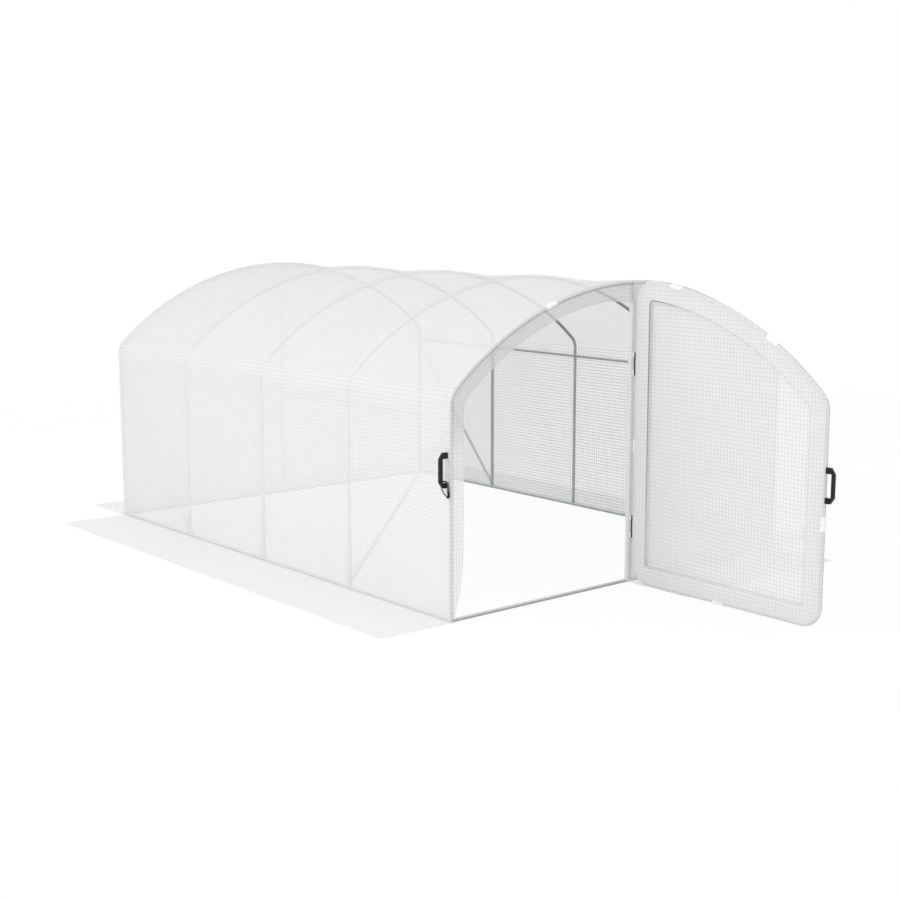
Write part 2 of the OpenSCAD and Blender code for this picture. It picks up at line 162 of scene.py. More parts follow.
def blend(tree: Tree, share: Socket, first: Socket | str, second: str, how: str = "MIX") -> Socket:
    """Mixes two colours.

    Args:
        tree: tree to add to.
        share: socket with the share of the second.
        first: hex colour or socket.
        second: hex colour.
        how: Blender's name of the way to mix.

    Returns:
        Socket with the colour.
    """
    base = linear(first) if isinstance(first, str) else first
    settings = {"data_type": "RGBA", "blend_type": how}
    return add_node(tree, "ShaderNodeMix", {0: share, 6: base, 7: linear(second)}, settings)[2]


def spot(tree: Tree) -> Socket:
    """Adds the place on the object, in metres."""
    return add_node(tree, "ShaderNodeTexCoord")["Object"]


def split(tree: Tree, vector: Socket) -> list[Socket]:
    """Splits a vector to its x, y and z."""
    return list(add_node(tree, "ShaderNodeSeparateXYZ", {0: vector}))


def noise(tree: Tree, at: Socket, per_m: float, detail: float) -> Socket:
    """Adds a noise with so many waves to the metre."""
    return add_node(tree, "ShaderNodeTexNoise", {"Vector": at, "Scale": per_m, "Detail": detail})[0]


def relief(tree: Tree, height: Socket, strength: float, deep_mm: float) -> Socket:
    """Adds a bump of a depth in millimetres."""
    inputs = {"Strength": strength, "Distance": deep_mm * MM, "Height": height}
    return add_node(tree, "ShaderNodeBump", inputs)[0]


def mixed(tree: Tree, share: Socket | float, first: Socket, second: Socket) -> Socket:
    """Mixes two shaders, by the share of the second."""
    return add_node(tree, "ShaderNodeMixShader", {0: share, 1: first, 2: second})[0]


def blank_material(name: str) -> tuple[Material, Tree]:
    """Makes a material with an empty node tree.

    Args:
        name: name of the material.

    Returns:
        The material and its tree.
    """
    material = bpy.data.materials.new(name)
    material.use_nodes = True
    material.node_tree.nodes.clear()
    return material, material.node_tree


# Finishes


@dataclass(frozen=True)
class ReinforcedFilm:
    """Extruded polyethylene film with a laid grid of threads: milky, half clear, faintly glossy.

    It scatters most of the light that meets it, sends a part of that on through, and lets the rest
    pass straight. The threads stop more light than the cells between them, so they draw a soft
    darker grid. Only faces that are met from outside scatter, so that both faces of the thin shell
    count as one sheet. The two covers are those of the cells and of the threads.
    """

    name: str
    cell: str = "#f8f9f9"
    thread: str = "#e2e4e4"
    cover: Point2 = (0.79, 0.88)
    sent_on: float = 0.40
    pitch_mm: float = 24.8
    thread_mm: float = 5.0  # real threads are about 1 mm: drawn wider, so that the grid shows
    thread_fade: Point2 = (1.4, 0.6)
    thread_bump: float = 0.35
    thread_deep_mm: float = 0.4
    cloud_mm: float = 420.0
    cloud: Point2 = (-0.05, 0.05)
    roughness: float = 0.42
    shine: float = 0.25
    # painted shade: this colour darkens the film between these heights, fully above the second
    shade: str | None = None
    shade_z: Point2 = (0.95, 1.22)

    def threads(self, tree: Tree) -> Socket:
        """Adds the grid of threads, on the film's own flat measure.

        Args:
            tree: tree to add to.

        Returns:
            Socket that is 1 on a thread and 0 between them.
        """
        uv = add_node(tree, "ShaderNodeUVMap", settings={"uv_map": "film"})[0]
        half = self.pitch_mm * MM / 2
        edge = self.thread_mm / self.pitch_mm
        low, high = (half * (1 - edge * fade) for fade in self.thread_fade)
        waves = [maths(tree, "PINGPONG", axis, half) for axis in split(tree, uv)[:2]]
        return maths(tree, "MAXIMUM", *(ranged(tree, wave, (low, high), eased=True) for wave in waves))

    def build(self) -> Material:
        """Builds the material.

        Returns:
            The finished material.
        """
        material, tree = blank_material(self.name)
        thread, at = self.threads(tree), spot(tree)
        colour = blend(tree, thread, self.cell, self.thread)
        # painted shade, darker towards the top
        if self.shade:
            high = ranged(tree, split(tree, at)[2], self.shade_z, eased=True)
            colour = blend(tree, high, colour, self.shade, "MULTIPLY")
        drift = ranged(tree, noise(tree, at, 1000 / self.cloud_mm, 3.0), end=self.cloud)
        stopped = maths(tree, "ADD", ranged(tree, thread, end=self.cover), drift, clamp=True)
        outside = maths(tree, "SUBTRACT", 1.0, add_node(tree, "ShaderNodeNewGeometry")["Backfacing"])
        look = {
            "Base Color": colour,
            "Roughness": self.roughness,
            "IOR": 1.5,
            "Specular IOR Level": self.shine,
            "Normal": relief(tree, thread, self.thread_bump, self.thread_deep_mm),
        }
        skin = add_node(tree, "ShaderNodeBsdfPrincipled", look)[0]
        through = add_node(tree, "ShaderNodeBsdfTranslucent", {"Color": colour})[0]
        milk = mixed(tree, self.sent_on, skin, through)
        clear = add_node(tree, "ShaderNodeBsdfTransparent")[0]
        sheet = mixed(tree, maths(tree, "MULTIPLY", stopped, outside), clear, milk)
        add_node(tree, "ShaderNodeOutputMaterial", {0: sheet})
        return material


@dataclass(frozen=True)
class ZincSteel:
    """Zinc-coated steel: a grey metal with faint crystal flakes, painted light on top and painted shade
    underneath.

    A tube under the cover also has painted light on the side that it turns to the film.
    """

    name: str
    colour: str = "#a2a5a7"
    flake_colour: str = "#b4b7b9"
    flake_mm: float = 9.0
    metallic: float = 0.40
    roughness: float = 0.46
    rough_spread: Point2 = (-0.06, 0.1)
    streaks_per_m: float = 14.0
    flake_bump: float = 0.15
    flake_deep_mm: float = 0.05
    # painted light on top, painted shade underneath and painted light on the side towards the film, each by
    # the turn of the surface
    top_colour: str = "#dcdfe0"
    top_turn: Point2 = (0.085, 0.85)
    under_colour: str = "#75787a"
    under_turn: Point2 = (-0.075, -0.75)
    film_side_colour: str | None = None
    film_turn: Point2 = (0.1, 0.9)

    def build(self) -> Material:
        """Builds the material.

        Returns:
            The finished material.
        """
        material, tree = blank_material(self.name)
        at = spot(tree)
        flake = add_node(tree, "ShaderNodeTexVoronoi", {"Vector": at, "Scale": 1000 / self.flake_mm})["Color"]
        grey = add_node(tree, "ShaderNodeSeparateColor", {0: flake})[0]
        patch = maths(tree, "MULTIPLY", grey, noise(tree, at, self.streaks_per_m, 4.0))
        colour = blend(tree, patch, self.colour, self.flake_colour)
        facing = split(tree, add_node(tree, "ShaderNodeNewGeometry")["Normal"])
        outward = maths(tree, "MULTIPLY", split(tree, at)[0], facing[0])
        # painted light and shade: lighter where the surface turns up, darker where it turns down, lighter
        # towards the film
        for tint, turned, reach in (
            (self.top_colour, facing[2], self.top_turn),
            (self.under_colour, facing[2], self.under_turn),
            (self.film_side_colour, outward, self.film_turn),
        ):
            if tint:
                colour = blend(tree, ranged(tree, turned, reach), colour, tint)
        look = {
            "Base Color": colour,
            "Metallic": self.metallic,
            "Roughness": ranged(tree, patch, end=tuple(self.roughness + d for d in self.rough_spread)),
            "Normal": relief(tree, patch, self.flake_bump, self.flake_deep_mm),
        }
        add_node(tree, "ShaderNodeOutputMaterial", {0: add_node(tree, "ShaderNodeBsdfPrincipled", look)[0]})
        return material


@dataclass(frozen=True)
class MouldedPlastic:
    """Injection-moulded plastic: one colour, with the fine spark-eroded grain of its mould."""

    name: str
    colour: str
    worn_colour: str
    roughness: float = 0.46
    rough_spread: Point2 = (-0.08, 0.12)
    shine: float = 0.5
    grain_mm: float = 2.4  # the real grain is about 0.1 mm: drawn coarser, so that it shows
    grain_bump: float = 0.25
    grain_deep_mm: float = 0.08
    patches_per_m: float = 22.0
    worn_from: Point2 = (0.45, 0.8)

    def build(self) -> Material:
        """Builds the material.

        Returns:
            The finished material.
        """
        material, tree = blank_material(self.name)
        at = spot(tree)
        grain = noise(tree, at, 1000 / self.grain_mm, 2.0)
        worn = ranged(tree, noise(tree, at, self.patches_per_m, 3.0), self.worn_from)
        look = {
            "Base Color": blend(tree, worn, self.colour, self.worn_colour),
            "Roughness": ranged(tree, grain, end=tuple(self.roughness + d for d in self.rough_spread)),
            "IOR": 1.49,
            "Specular IOR Level": self.shine,
            "Normal": relief(tree, grain, self.grain_bump, self.grain_deep_mm),
        }
        add_node(tree, "ShaderNodeOutputMaterial", {0: add_node(tree, "ShaderNodeBsdfPrincipled", look)[0]})
        return material


@dataclass(frozen=True)
class HemEdge:
    """Free edge of the door's hem: a dark line of painted shadow by the hinge, where the hem stands off the
    film, and hardly seen further off.
    """

    name: str
    painted_shadow_colour: str = "#939596"
    flat_colour: str = "#dfe1e1"
    open_y: Point2 = (-0.52, -0.20)
    open_z: Point2 = (-0.10, 1.30)
    cover: Point2 = (0.22, 0.95)
    roughness: float = 0.5
    shine: float = 0.25

    def build(self) -> Material:
        """Builds the material.

        Returns:
            The finished material.
        """
        material, tree = blank_material(self.name)
        _, y, z = split(tree, spot(tree))
        # painted shadow: dark near the hinge and higher up, fading away from it
        shadow_share = maths(tree, "MULTIPLY", ranged(tree, y, self.open_y, eased=True), ranged(tree, z, self.open_z))
        look = {
            "Base Color": blend(tree, shadow_share, self.flat_colour, self.painted_shadow_colour),
            "Roughness": self.roughness,
            "Specular IOR Level": self.shine,
        }
        skin = add_node(tree, "ShaderNodeBsdfPrincipled", look)[0]
        clear = add_node(tree, "ShaderNodeBsdfTransparent")[0]
        edge = mixed(tree, ranged(tree, shadow_share, end=self.cover), clear, skin)
        add_node(tree, "ShaderNodeOutputMaterial", {0: edge})
        return material


class Palette:
    """The finishes of the greenhouse, each built once."""

    def __init__(self) -> None:
        """Builds every finish."""
        film, steel, plastic = ReinforcedFilm, ZincSteel, MouldedPlastic
        # the steel finishes carry painted light on top and painted shade underneath; the tubes also carry
        # painted light on the side towards the film
        film_lit_side = "#f1f3f4"
        self.film = film("reinforced_pe_film", "#f2f3f3", "#e0e2e2", (0.83, 0.88), 0.34).build()
        # the inner face is a lighter copy of the film, painted light on the inside walls; it is also clearer,
        # with darker threads
        self.film_inside = film(
            "reinforced_pe_film_inside", "#f6f7f7", "#bbbdbd", (0.36, 0.79), 0.43, thread_mm=6.0
        ).build()
        self.skirt = film("plain_pe_skirt", "#f0f1f1", "#e9eaea", (0.74, 0.77)).build()
        self.door = film("reinforced_pe_door_film", "#f1f2f2", "#d6d8d8", sent_on=0.36).build()
        self.doubled = film("doubled_pe_film", "#e9eaea", "#d9dbdb", (0.96, 0.97), 0.14).build()
        self.wrap = film("post_wrap_film", "#eceded", "#dddfdf", (0.97, 0.98), 0.03).build()
        # the lip is a lighter copy of the film (painted light), darkened towards its top by painted shade
        self.lip = film(
            "doorway_lip_film", cell="#fdfdfd", cover=(0.71, 0.80), sent_on=0.38, shade="#e9e9e9"
        ).build()
        self.hem_edge = HemEdge("film_hem_edge").build()
        # grey finish of a bead that paints shade along the door's rolled edge
        self.edge_shade_line = plastic("film_edge_shade_line", "#b4b6b7", "#bcbebf", roughness=0.5, shine=0.2).build()
        self.tube = steel("galvanised_tube", film_side_colour=film_lit_side).build()
        self.bright_tube = steel(
            "bright_galvanised_tube",
            "#d2d5d6",
            "#dcdfe0",
            metallic=0.10,
            under_colour="#b9bcbe",
            film_side_colour=film_lit_side,
        ).build()
        self.bolt = steel("zinc_plated_bolt", flake_mm=4.0, metallic=0.8).build()
        self.hook = steel(
            "plated_spring_steel",
            "#4e5153",
            "#5d6062",
            flake_mm=3.0,
            metallic=0.75,
            top_colour="#6d7072",
            under_colour="#2e3032",
        ).build()
        self.grip = plastic("black_moulded_nylon", "#121313", "#1b1c1d", shine=0.3).build()
        self.hinge = plastic("black_coated_steel", "#262729", "#3a3b3d", roughness=0.38).build()
        self.plate = plastic("pale_coated_plate", "#e4e5e6", "#dadbdc", roughness=0.42).build()
        self.clip = plastic("white_pvc_clip", "#eff0f0", "#e9eaea", roughness=0.40).build()


# Centre lines


def run_along(points: Any) -> np.ndarray:
    """Length along a chain of points, at each of them."""
    return np.concatenate([[0.0], np.cumsum(np.hypot(*np.diff(np.array(points), axis=0).T))])


@dataclass(frozen=True)
class HoopLine:
    """Centre line of a hoop and its posts, from the left foot over the ridge to the right foot."""

    half_w: float = 1.4875
    shoulder_z: float = 1.337
    ridge_z: float = 1.932
    bend_r: float = 0.130
    length: float = 4.0
    bays: int = 4
    tube_r: float = 0.0125

    @property
    def arc_r(self) -> float:
        """Radius of the roof arc."""
        rise = self.ridge_z - self.shoulder_z
        return (self.half_w**2 + rise**2) / (2 * rise)

    @property
    def arc_z(self) -> float:
        """Height of the roof arc's centre."""
        return self.ridge_z - self.arc_r

    @property
    def bend_x(self) -> float:
        """Distance of a shoulder bend's centre from the middle."""
        return self.half_w - self.bend_r

    @property
    def tilt(self) -> float:
        """Half of the roof arc's turn, in radians."""
        return math.asin(self.bend_x / (self.arc_r - self.bend_r))

    @property
    def bend_z(self) -> float:
        """Height of a shoulder bend's centre."""
        return self.arc_z + (self.arc_r - self.bend_r) * math.cos(self.tilt)

    def half_samples(self, wall_n: int, bend_n: int = 10, roof_n: int = 36) -> list[tuple[float, ...]]:
        """Samples the right half from the foot to the ridge.

        Args:
            wall_n: steps up the wall.
            bend_n: steps round the shoulder.
            roof_n: steps along half of the roof.

        Returns:
            Rows of x, z and the outward normal's x, z.
        """
        rows = [(self.half_w, self.bend_z * i / wall_n, 1.0, 0.0) for i in range(wall_n)]
        top = math.pi / 2 - self.tilt
        turns = [(self.bend_x, self.bend_z, self.bend_r, top * i / bend_n) for i in range(bend_n)]
        turns += [(0.0, self.arc_z, self.arc_r, top + self.tilt * i / roof_n) for i in range(roof_n + 1)]
        for x, z, r, a in turns:
            rows.append((x + r * math.cos(a), z + r * math.sin(a), math.cos(a), math.sin(a)))
        return rows

    def samples(self, wall_n: int) -> np.ndarray:
        """Samples the whole line from the left foot to the right foot.

        Args:
            wall_n: steps up a wall.

        Returns:
            Array with rows of x, z, normal x, normal z and the length along the line.
        """
        right = self.half_samples(wall_n)
        left = [(-x, z, -nx, nz) for x, z, nx, nz in right]
        rows = np.array(left + right[-2::-1])
        return np.column_stack([rows, run_along(rows[:, :2])])


@dataclass(frozen=True)
class DoorLine:
    """Centre line of the door's frame: distance from the hinge axis, and height."""

    hinge_y: float = 0.0367
    width: float = 1.466
    inset: float = 0.0233
    shoulder_z: float = 1.325
    ridge_z: float = 1.941
    corner_r: float = 0.125
    foot_z: float = 0.0233

    @property
    def arc_r(self) -> float:
        """Radius of the top arc."""
        rise = self.ridge_z - self.shoulder_z
        return (self.width**2 + rise**2) / (2 * rise)

    @property
    def arc_z(self) -> float:
        """Height of the top arc's centre."""
        return self.ridge_z - self.arc_r

    def outline(self, corner_n: int = 12, arc_n: int = 40) -> list[Point2]:
        """Closed outline, anticlockwise with the hinge at zero.

        Args:
            corner_n: steps round a corner.
            arc_n: steps along the top arc.

        Returns:
            Points of distance and height.
        """
        q, r = math.pi / 2, self.corner_r
        near_x, far_x, low_z = self.inset + r, self.width - r, self.foot_z + r
        near_t, far_t = (math.asin(x / (self.arc_r - r)) for x in (near_x, far_x))
        near_z, far_z = (self.arc_z + (self.arc_r - r) * math.cos(t) for t in (near_t, far_t))

        def turn(x: float, z: float, r: float, a0: float, a1: float, n: int) -> list[Point2]:
            """Points round a bend."""
            angles = [a0 + (a1 - a0) * i / n for i in range(n + 1)]
            return [(x + r * math.cos(a), z + r * math.sin(a)) for a in angles]

        points = turn(near_x, low_z, r, 2 * q, 3 * q, corner_n)
        points += turn(far_x, low_z, r, 3 * q, 4 * q, corner_n)
        points += turn(far_x, far_z, r, 0, q - far_t, corner_n)
        points += turn(0.0, self.arc_z, self.arc_r, q - far_t, q - near_t, arc_n)[1:-1]
        points += turn(near_x, near_z, r, q - near_t, 2 * q, corner_n)
        return points

    def place(self, p: float, z: float, q: float) -> Point3:
        """World place at rest of a distance from the hinge, a height and an offset to the inner face."""
        return (-q, -self.hinge_y - p, z)


# Mesh helpers


def cut_flat(
    outline: Sequence[Point2], u_lines: Sequence[float], v_lines: Sequence[float]
) -> tuple[np.ndarray, list[Face]]:
    """Fills a flat outline and cuts it along straight lines.

    Args:
        outline: anticlockwise points.
        u_lines: cuts at these first coordinates.
        v_lines: cuts at these second coordinates.

    Returns:
        Points as rows of two, and faces.
    """
    bm = bmesh.new()
    bm.faces.new([bm.verts.new((u, v, 0.0)) for u, v in outline])
    cuts = [((u, 0, 0), (1, 0, 0)) for u in u_lines] + [((0, v, 0), (0, 1, 0)) for v in v_lines]
    for at, normal in cuts:
        whole = bm.verts[:] + bm.edges[:] + bm.faces[:]
        bmesh.ops.bisect_plane(bm, geom=whole, plane_co=at, plane_no=normal, dist=1e-6)
    bmesh.ops.remove_doubles(bm, verts=bm.verts[:], dist=1e-5)
    bm.verts.index_update()
    points = np.array([v.co[:2] for v in bm.verts])
    faces = [tuple(v.index for v in f.verts) for f in bm.faces]
    bm.free()
    return points, faces


def rim_loop(faces: Sequence[Face]) -> list[int]:
    """Orders the outer edge of a sheet.

    Args:
        faces: faces of the sheet, all turned the same way.

    Returns:
        Vertex numbers round the edge.
    """
    directed = {(f[i], f[(i + 1) % len(f)]) for f in faces for i in range(len(f))}
    after = {a: b for a, b in directed if (b, a) not in directed}
    start = min(after)
    loop = [start]
    while after[loop[-1]] != start:
        loop.append(after[loop[-1]])
    return loop


def grid_faces(rows: Sequence[Sequence[int]]) -> list[Face]:
    """Makes the faces between neighbouring rows of points.

    Args:
        rows: vertex numbers, row by row.

    Returns:
        The faces.
    """
    faces = []
    for one, two in zip(rows, rows[1:]):
        faces += [(one[k], two[k], two[k + 1], one[k + 1]) for k in range(len(one) - 1)]
    return faces


def join_rings(bm: bmesh.types.BMesh, rings: Sequence[Sequence[bmesh.types.BMVert]]) -> None:
    """Adds the faces between neighbouring closed rings.

    Args:
        bm: mesh to add to.
        rings: vertices, ring by ring.
    """
    for one, two in zip(rings, rings[1:]):
        for k in range(len(one)):
            m = (k + 1) % len(one)
            bm.faces.new((one[k], one[m], two[m], two[k]))


def steps(low: float, high: float, pitch: float) -> list[float]:
    """Even places between two ends at about a pitch, the ends left out."""
    n = max(1, round((high - low) / pitch))
    return [low + (high - low) * i / n for i in range(1, n)]


def ease(t: np.ndarray | float) -> Any:
    """Smooth step from 0 to 1 of a value held between them."""
    t = np.clip(t, 0.0, 1.0)
    return t * t * (3 - 2 * t)


def new_object(name: str, data: bpy.types.ID) -> Object:
    """Links a mesh, camera or lamp to the scene.

    Args:
        name: name of the object.
        data: what it holds, a mesh in the shared frame.

    Returns:
        The new object, at the origin.
    """
    obj = bpy.data.objects.new(name, data)
    bpy.context.scene.collection.objects.link(obj)
    return obj


def smooth(mesh: bpy.types.Mesh, angle: float = 35.0) -> None:
    """Shades a mesh smooth, with sharp edges over an angle."""
    mesh.shade_smooth()
    mesh.set_sharp_from_angle(angle=math.radians(angle))


def ride_as(obj: Object, body: Body, slot: Slot) -> None:
    """Tells the frame which body a piece rides on."""
    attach(obj, body.value)


def freeze(obj: Object) -> Object:
    """Turns an object with modifiers to a plain mesh.

    Args:
        obj: the object.

    Returns:
        The same object, with no modifier.
    """
    graph = bpy.context.evaluated_depsgraph_get()
    made = obj.evaluated_get(graph)
    mesh = bpy.data.meshes.new_from_object(made, preserve_all_data_layers=True, depsgraph=graph)
    old = obj.data
    obj.modifiers.clear()
    obj.data = mesh
    mesh.name = obj.name
    bpy.data.meshes.remove(old)
    return obj


# Geometry trees


def run_tree(obj: Object, tree: Tree, values: dict[str, Any]) -> Object:
    """Runs a geometry tree on an object and keeps the result as a plain mesh.

    Args:
        obj: object that feeds the tree.
        tree: geometry tree.
        values: values of the tree's named inputs.

    Returns:
        The object with its new mesh.
    """
    modifier = obj.modifiers.new("build", "NODES")
    modifier.node_group = tree
    for item in tree.interface.items_tree:
        if item.item_type == "SOCKET" and item.in_out == "INPUT" and item.name in values:
            modifier[item.identifier] = values[item.name]
    return freeze(obj)


def blank_tree(name: str, **inputs: Sequence[str]) -> tuple[Tree, Any]:
    """Starts a geometry tree with named inputs.

    Args:
        name: name of the tree.
        inputs: names of the inputs, by the kind of their socket.

    Returns:
        The tree and the sockets of its inputs.
    """
    tree = bpy.data.node_groups.new(name, "GeometryNodeTree")
    tree.interface.new_socket("Geometry", in_out="INPUT", socket_type="NodeSocketGeometry")
    for kind, names in inputs.items():
        for key in names:
            tree.interface.new_socket(key, in_out="INPUT", socket_type=f"NodeSocket{kind}")
    tree.interface.new_socket("Geometry", in_out="OUTPUT", socket_type="NodeSocketGeometry")
    return tree, add_node(tree, "NodeGroupInput")


def attribute(tree: Tree, name: str, kind: str = "FLOAT") -> Socket:
    """Adds a named attribute of the points."""
    return add_node(tree, "GeometryNodeInputNamedAttribute", {"Name": name}, {"data_type": kind})[0]


def close_tree(tree: Tree, geometry: Socket, material: Socket) -> Tree:
    """Ends a geometry tree in Realize Instances and Set Material.

    Args:
        tree: the tree.
        geometry: socket with the finished geometry.
        material: socket with the material.

    Returns:
        The finished tree.
    """
    real = add_node(tree, "GeometryNodeRealizeInstances", {0: geometry})[0]
    dressed = add_node(tree, "GeometryNodeSetMaterial", {"Geometry": real, "Material": material})[0]
    add_node(tree, "NodeGroupOutput", {0: dressed})
    return tree


class Trees:
    """Geometry trees that the pieces share."""

    bolt_sizes: tuple[str, ...] = ("Head radius", "Head height", "Washer radius", "Washer height")
    bolt_counts: tuple[str, ...] = ("Sides", "Seed")
    washer_sides: int = 24

    def __init__(self) -> None:
        """Builds every tree."""
        self.drape = self.film_drape()
        self.bolts = self.bolt_set()
        self.bead = self.edge_bead()

    @staticmethod
    def film_drape() -> Tree:
        """Tree that sags a film where it is slack and ripples it where it is loose.

        Returns:
            The tree.
        """
        sizes = ("Sag", "Ripple", "Ripple size", "Seed")
        tree, given = blank_tree("film_drape", Float=sizes, Material=("Film",))
        ripples = {
            "Vector": add_node(tree, "GeometryNodeInputPosition")[0],
            "W": given["Seed"],
            "Scale": maths(tree, "DIVIDE", 1.0, given["Ripple size"]),
            "Detail": 1.0,
        }
        swing = add_node(tree, "ShaderNodeTexNoise", ripples, {"noise_dimensions": "4D"})[0]
        wave = maths(tree, "MULTIPLY", ranged(tree, swing, end=(-1.0, 1.0)), given["Ripple"])
        wave = maths(tree, "MULTIPLY", wave, attribute(tree, "loose"))
        sag = maths(tree, "MULTIPLY", attribute(tree, "slack"), given["Sag"])
        move = {0: attribute(tree, "outward", "FLOAT_VECTOR"), "Scale": maths(tree, "SUBTRACT", wave, sag)}
        offset = add_node(tree, "ShaderNodeVectorMath", move, {"operation": "SCALE"})[0]
        hung = {"Geometry": given["Geometry"], "Offset": offset}
        return close_tree(tree, add_node(tree, "GeometryNodeSetPosition", hung)[0], given["Film"])

    def bolt_set(self) -> Tree:
        """Tree that stands a hexagon bolt head and washer on every point, along its axis.

        Returns:
            The tree.
        """
        tree, given = blank_tree("bolt_set", Float=self.bolt_sizes, Int=self.bolt_counts, Material=("Metal",))
        parts = []
        lift: Socket | float = 0.0
        for part, sides in (("Washer", self.washer_sides), ("Head", given["Sides"])):
            deep = given[f"{part} height"]
            disc = {"Vertices": sides, "Radius": given[f"{part} radius"], "Depth": deep}
            level = maths(tree, "ADD", maths(tree, "MULTIPLY", deep, 0.5), lift)
            moved = {
                "Geometry": add_node(tree, "GeometryNodeMeshCylinder", disc)["Mesh"],
                "Translation": add_node(tree, "ShaderNodeCombineXYZ", {"Z": level})[0],
            }
            parts.append(add_node(tree, "GeometryNodeTransform", moved)[0])
            lift = deep
        bolt = tree.nodes.new("GeometryNodeJoinGeometry")
        for part in reversed(parts):
            tree.links.new(part, bolt.inputs[0])
        upright = {"Vector": attribute(tree, "axis", "FLOAT_VECTOR")}
        sixth = {2: 0.0, 3: math.pi / 3, "Seed": given["Seed"]}
        spin = add_node(tree, "FunctionNodeRandomValue", sixth, {"data_type": "FLOAT"})[1]
        turn = {
            "Rotation": add_node(tree, "FunctionNodeAlignRotationToVector", upright, {"axis": "Z"})[0],
            "Rotate By": add_node(tree, "ShaderNodeCombineXYZ", {"Z": spin})[0],
        }
        turned = add_node(tree, "FunctionNodeRotateRotation", turn, {"rotation_space": "LOCAL"})[0]
        stood = {"Points": given["Geometry"], "Instance": bolt.outputs[0], "Rotation": turned}
        return close_tree(tree, add_node(tree, "GeometryNodeInstanceOnPoints", stood)[0], given["Metal"])

    @staticmethod
    def edge_bead() -> Tree:
        """Tree that runs a round bead along a chain of edges.

        Returns:
            The tree.
        """
        tree, given = blank_tree("edge_bead", Float=("Radius",), Int=("Sides",), Material=("Finish",))
        ring = {"Resolution": given["Sides"], "Radius": given["Radius"]}
        swept = {
            "Curve": add_node(tree, "GeometryNodeMeshToCurve", {"Mesh": given["Geometry"]})[0],
            "Profile Curve": add_node(tree, "GeometryNodeCurvePrimitiveCircle", ring)[0],
            "Fill Caps": True,
        }
        return close_tree(tree, add_node(tree, "GeometryNodeCurveToMesh", swept)[0], given["Finish"])


# Film


@dataclass
class FilmMesh:
    """Points of a film with what its draping needs."""

    points: np.ndarray
    faces: list[Face]
    uv: np.ndarray
    outward: np.ndarray
    slack: np.ndarray
    loose: np.ndarray

    def looks_out(self) -> bool:
        """Whether the drawn faces look outward."""
        a, b, c = (self.points[i] for i in self.faces[0][:3])
        return float(np.cross(b - a, c - a) @ self.outward[self.faces[0][0]]) > 0

    def area(self) -> float:
        """Adds up the faces of the film.

        Returns:
            Its area, in square metres.
        """
        total = 0.0
        for f in self.faces:
            p = self.points[list(f)]
            twice = sum(np.cross(p[i] - p[0], p[i + 1] - p[0]) for i in range(1, len(f) - 1))
            total += float(np.linalg.norm(twice) / 2)
        return total


@dataclass(frozen=True)
class FilmFinish:
    """Finishes of a film: outside, inside, and of the faces from a number on, if they have their own."""

    outside: Material
    inside: Material | None = None
    rim: Material | None = None
    rim_from: int = 0


@dataclass(frozen=True)
class Drape:
    """Sag of a film where it is slackest, height of its ripples where it is loosest, and their length."""

    sag: float
    ripple: float
    size: float


@dataclass
class FilmMaker:
    """Hangs films: sags and ripples them, and gives them their thickness."""

    trees: Trees
    sheets: int = 0

    def hang(self, name: str, film: FilmMesh, finish: FilmFinish, drape: Drape) -> Object:
        """Makes a film's object.

        Args:
            name: name of the piece.
            film: its points.
            finish: its finishes.
            drape: its sag and ripples.

        Returns:
            The film, a closed thin shell.
        """
        mesh = bpy.data.meshes.new(name)
        mesh.from_pydata([tuple(p) for p in film.points], [], film.faces)
        layer = mesh.uv_layers.new(name="film")
        at = np.empty(len(mesh.loops), dtype=np.int32)
        mesh.loops.foreach_get("vertex_index", at)
        layer.data.foreach_set("uv", film.uv[at].astype(np.float32).ravel())
        given = {"outward": film.outward, "slack": film.slack, "loose": film.loose}
        for key, values in given.items():
            kind, part = ("FLOAT_VECTOR", "vector") if values.ndim == 2 else ("FLOAT", "value")
            data = mesh.attributes.new(key, kind, "POINT").data
            data.foreach_set(part, np.ascontiguousarray(values, dtype=np.float32).ravel())
        obj = new_object(name, mesh)
        self.sheets += 1
        hung = {"Sag": drape.sag, "Ripple": drape.ripple, "Ripple size": drape.size}
        run_tree(obj, self.trees.drape, {**hung, "Seed": float(self.sheets), "Film": finish.outside})
        for key in given:
            obj.data.attributes.remove(obj.data.attributes[key])
        shell = obj.modifiers.new("thickness", "SOLIDIFY")
        shell.thickness = FILM_T
        shell.offset = 0.0
        if finish.inside or finish.rim:
            pair = [finish.outside, finish.inside or finish.outside]
            rim = finish.rim or finish.outside
            obj.data.materials.clear()
            for material in (pair if film.looks_out() else pair[::-1]) + [rim, rim]:
                obj.data.materials.append(material)
            for polygon in obj.data.polygons:
                polygon.material_index = 2 if finish.rim and polygon.index >= finish.rim_from else 0
            shell.material_offset = 1
        freeze(obj)
        smooth(obj.data, SHARP_FILM)
        return obj

    @staticmethod
    def declare(
        obj: Object,
        film: FilmMesh,
        flat: Point2,
        rests: Sequence[str],
        stands_for: Sequence[str],
        body: Body = Body.TUNNEL,
        hold: Hold = Hold.STRETCHED,
    ) -> Object:
        """Hangs a film on its body, hides the solids that it replaces and logs its size and area.

        Args:
            obj: the film's object.
            film: its points.
            flat: size it was cut to.
            rests: names of what it lies on; not used.
            stands_for: solids that it replaces.
            body: body that it rides on.
            hold: how it is held; not used.

        Returns:
            The film's object.
        """
        area = film.area()
        ride_as(obj, body, Slot.FILM)
        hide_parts(*stands_for)
        log.info("%s: %.2f x %.2f m, %.2f m2", obj.name, flat[0], flat[1], area)
        return obj


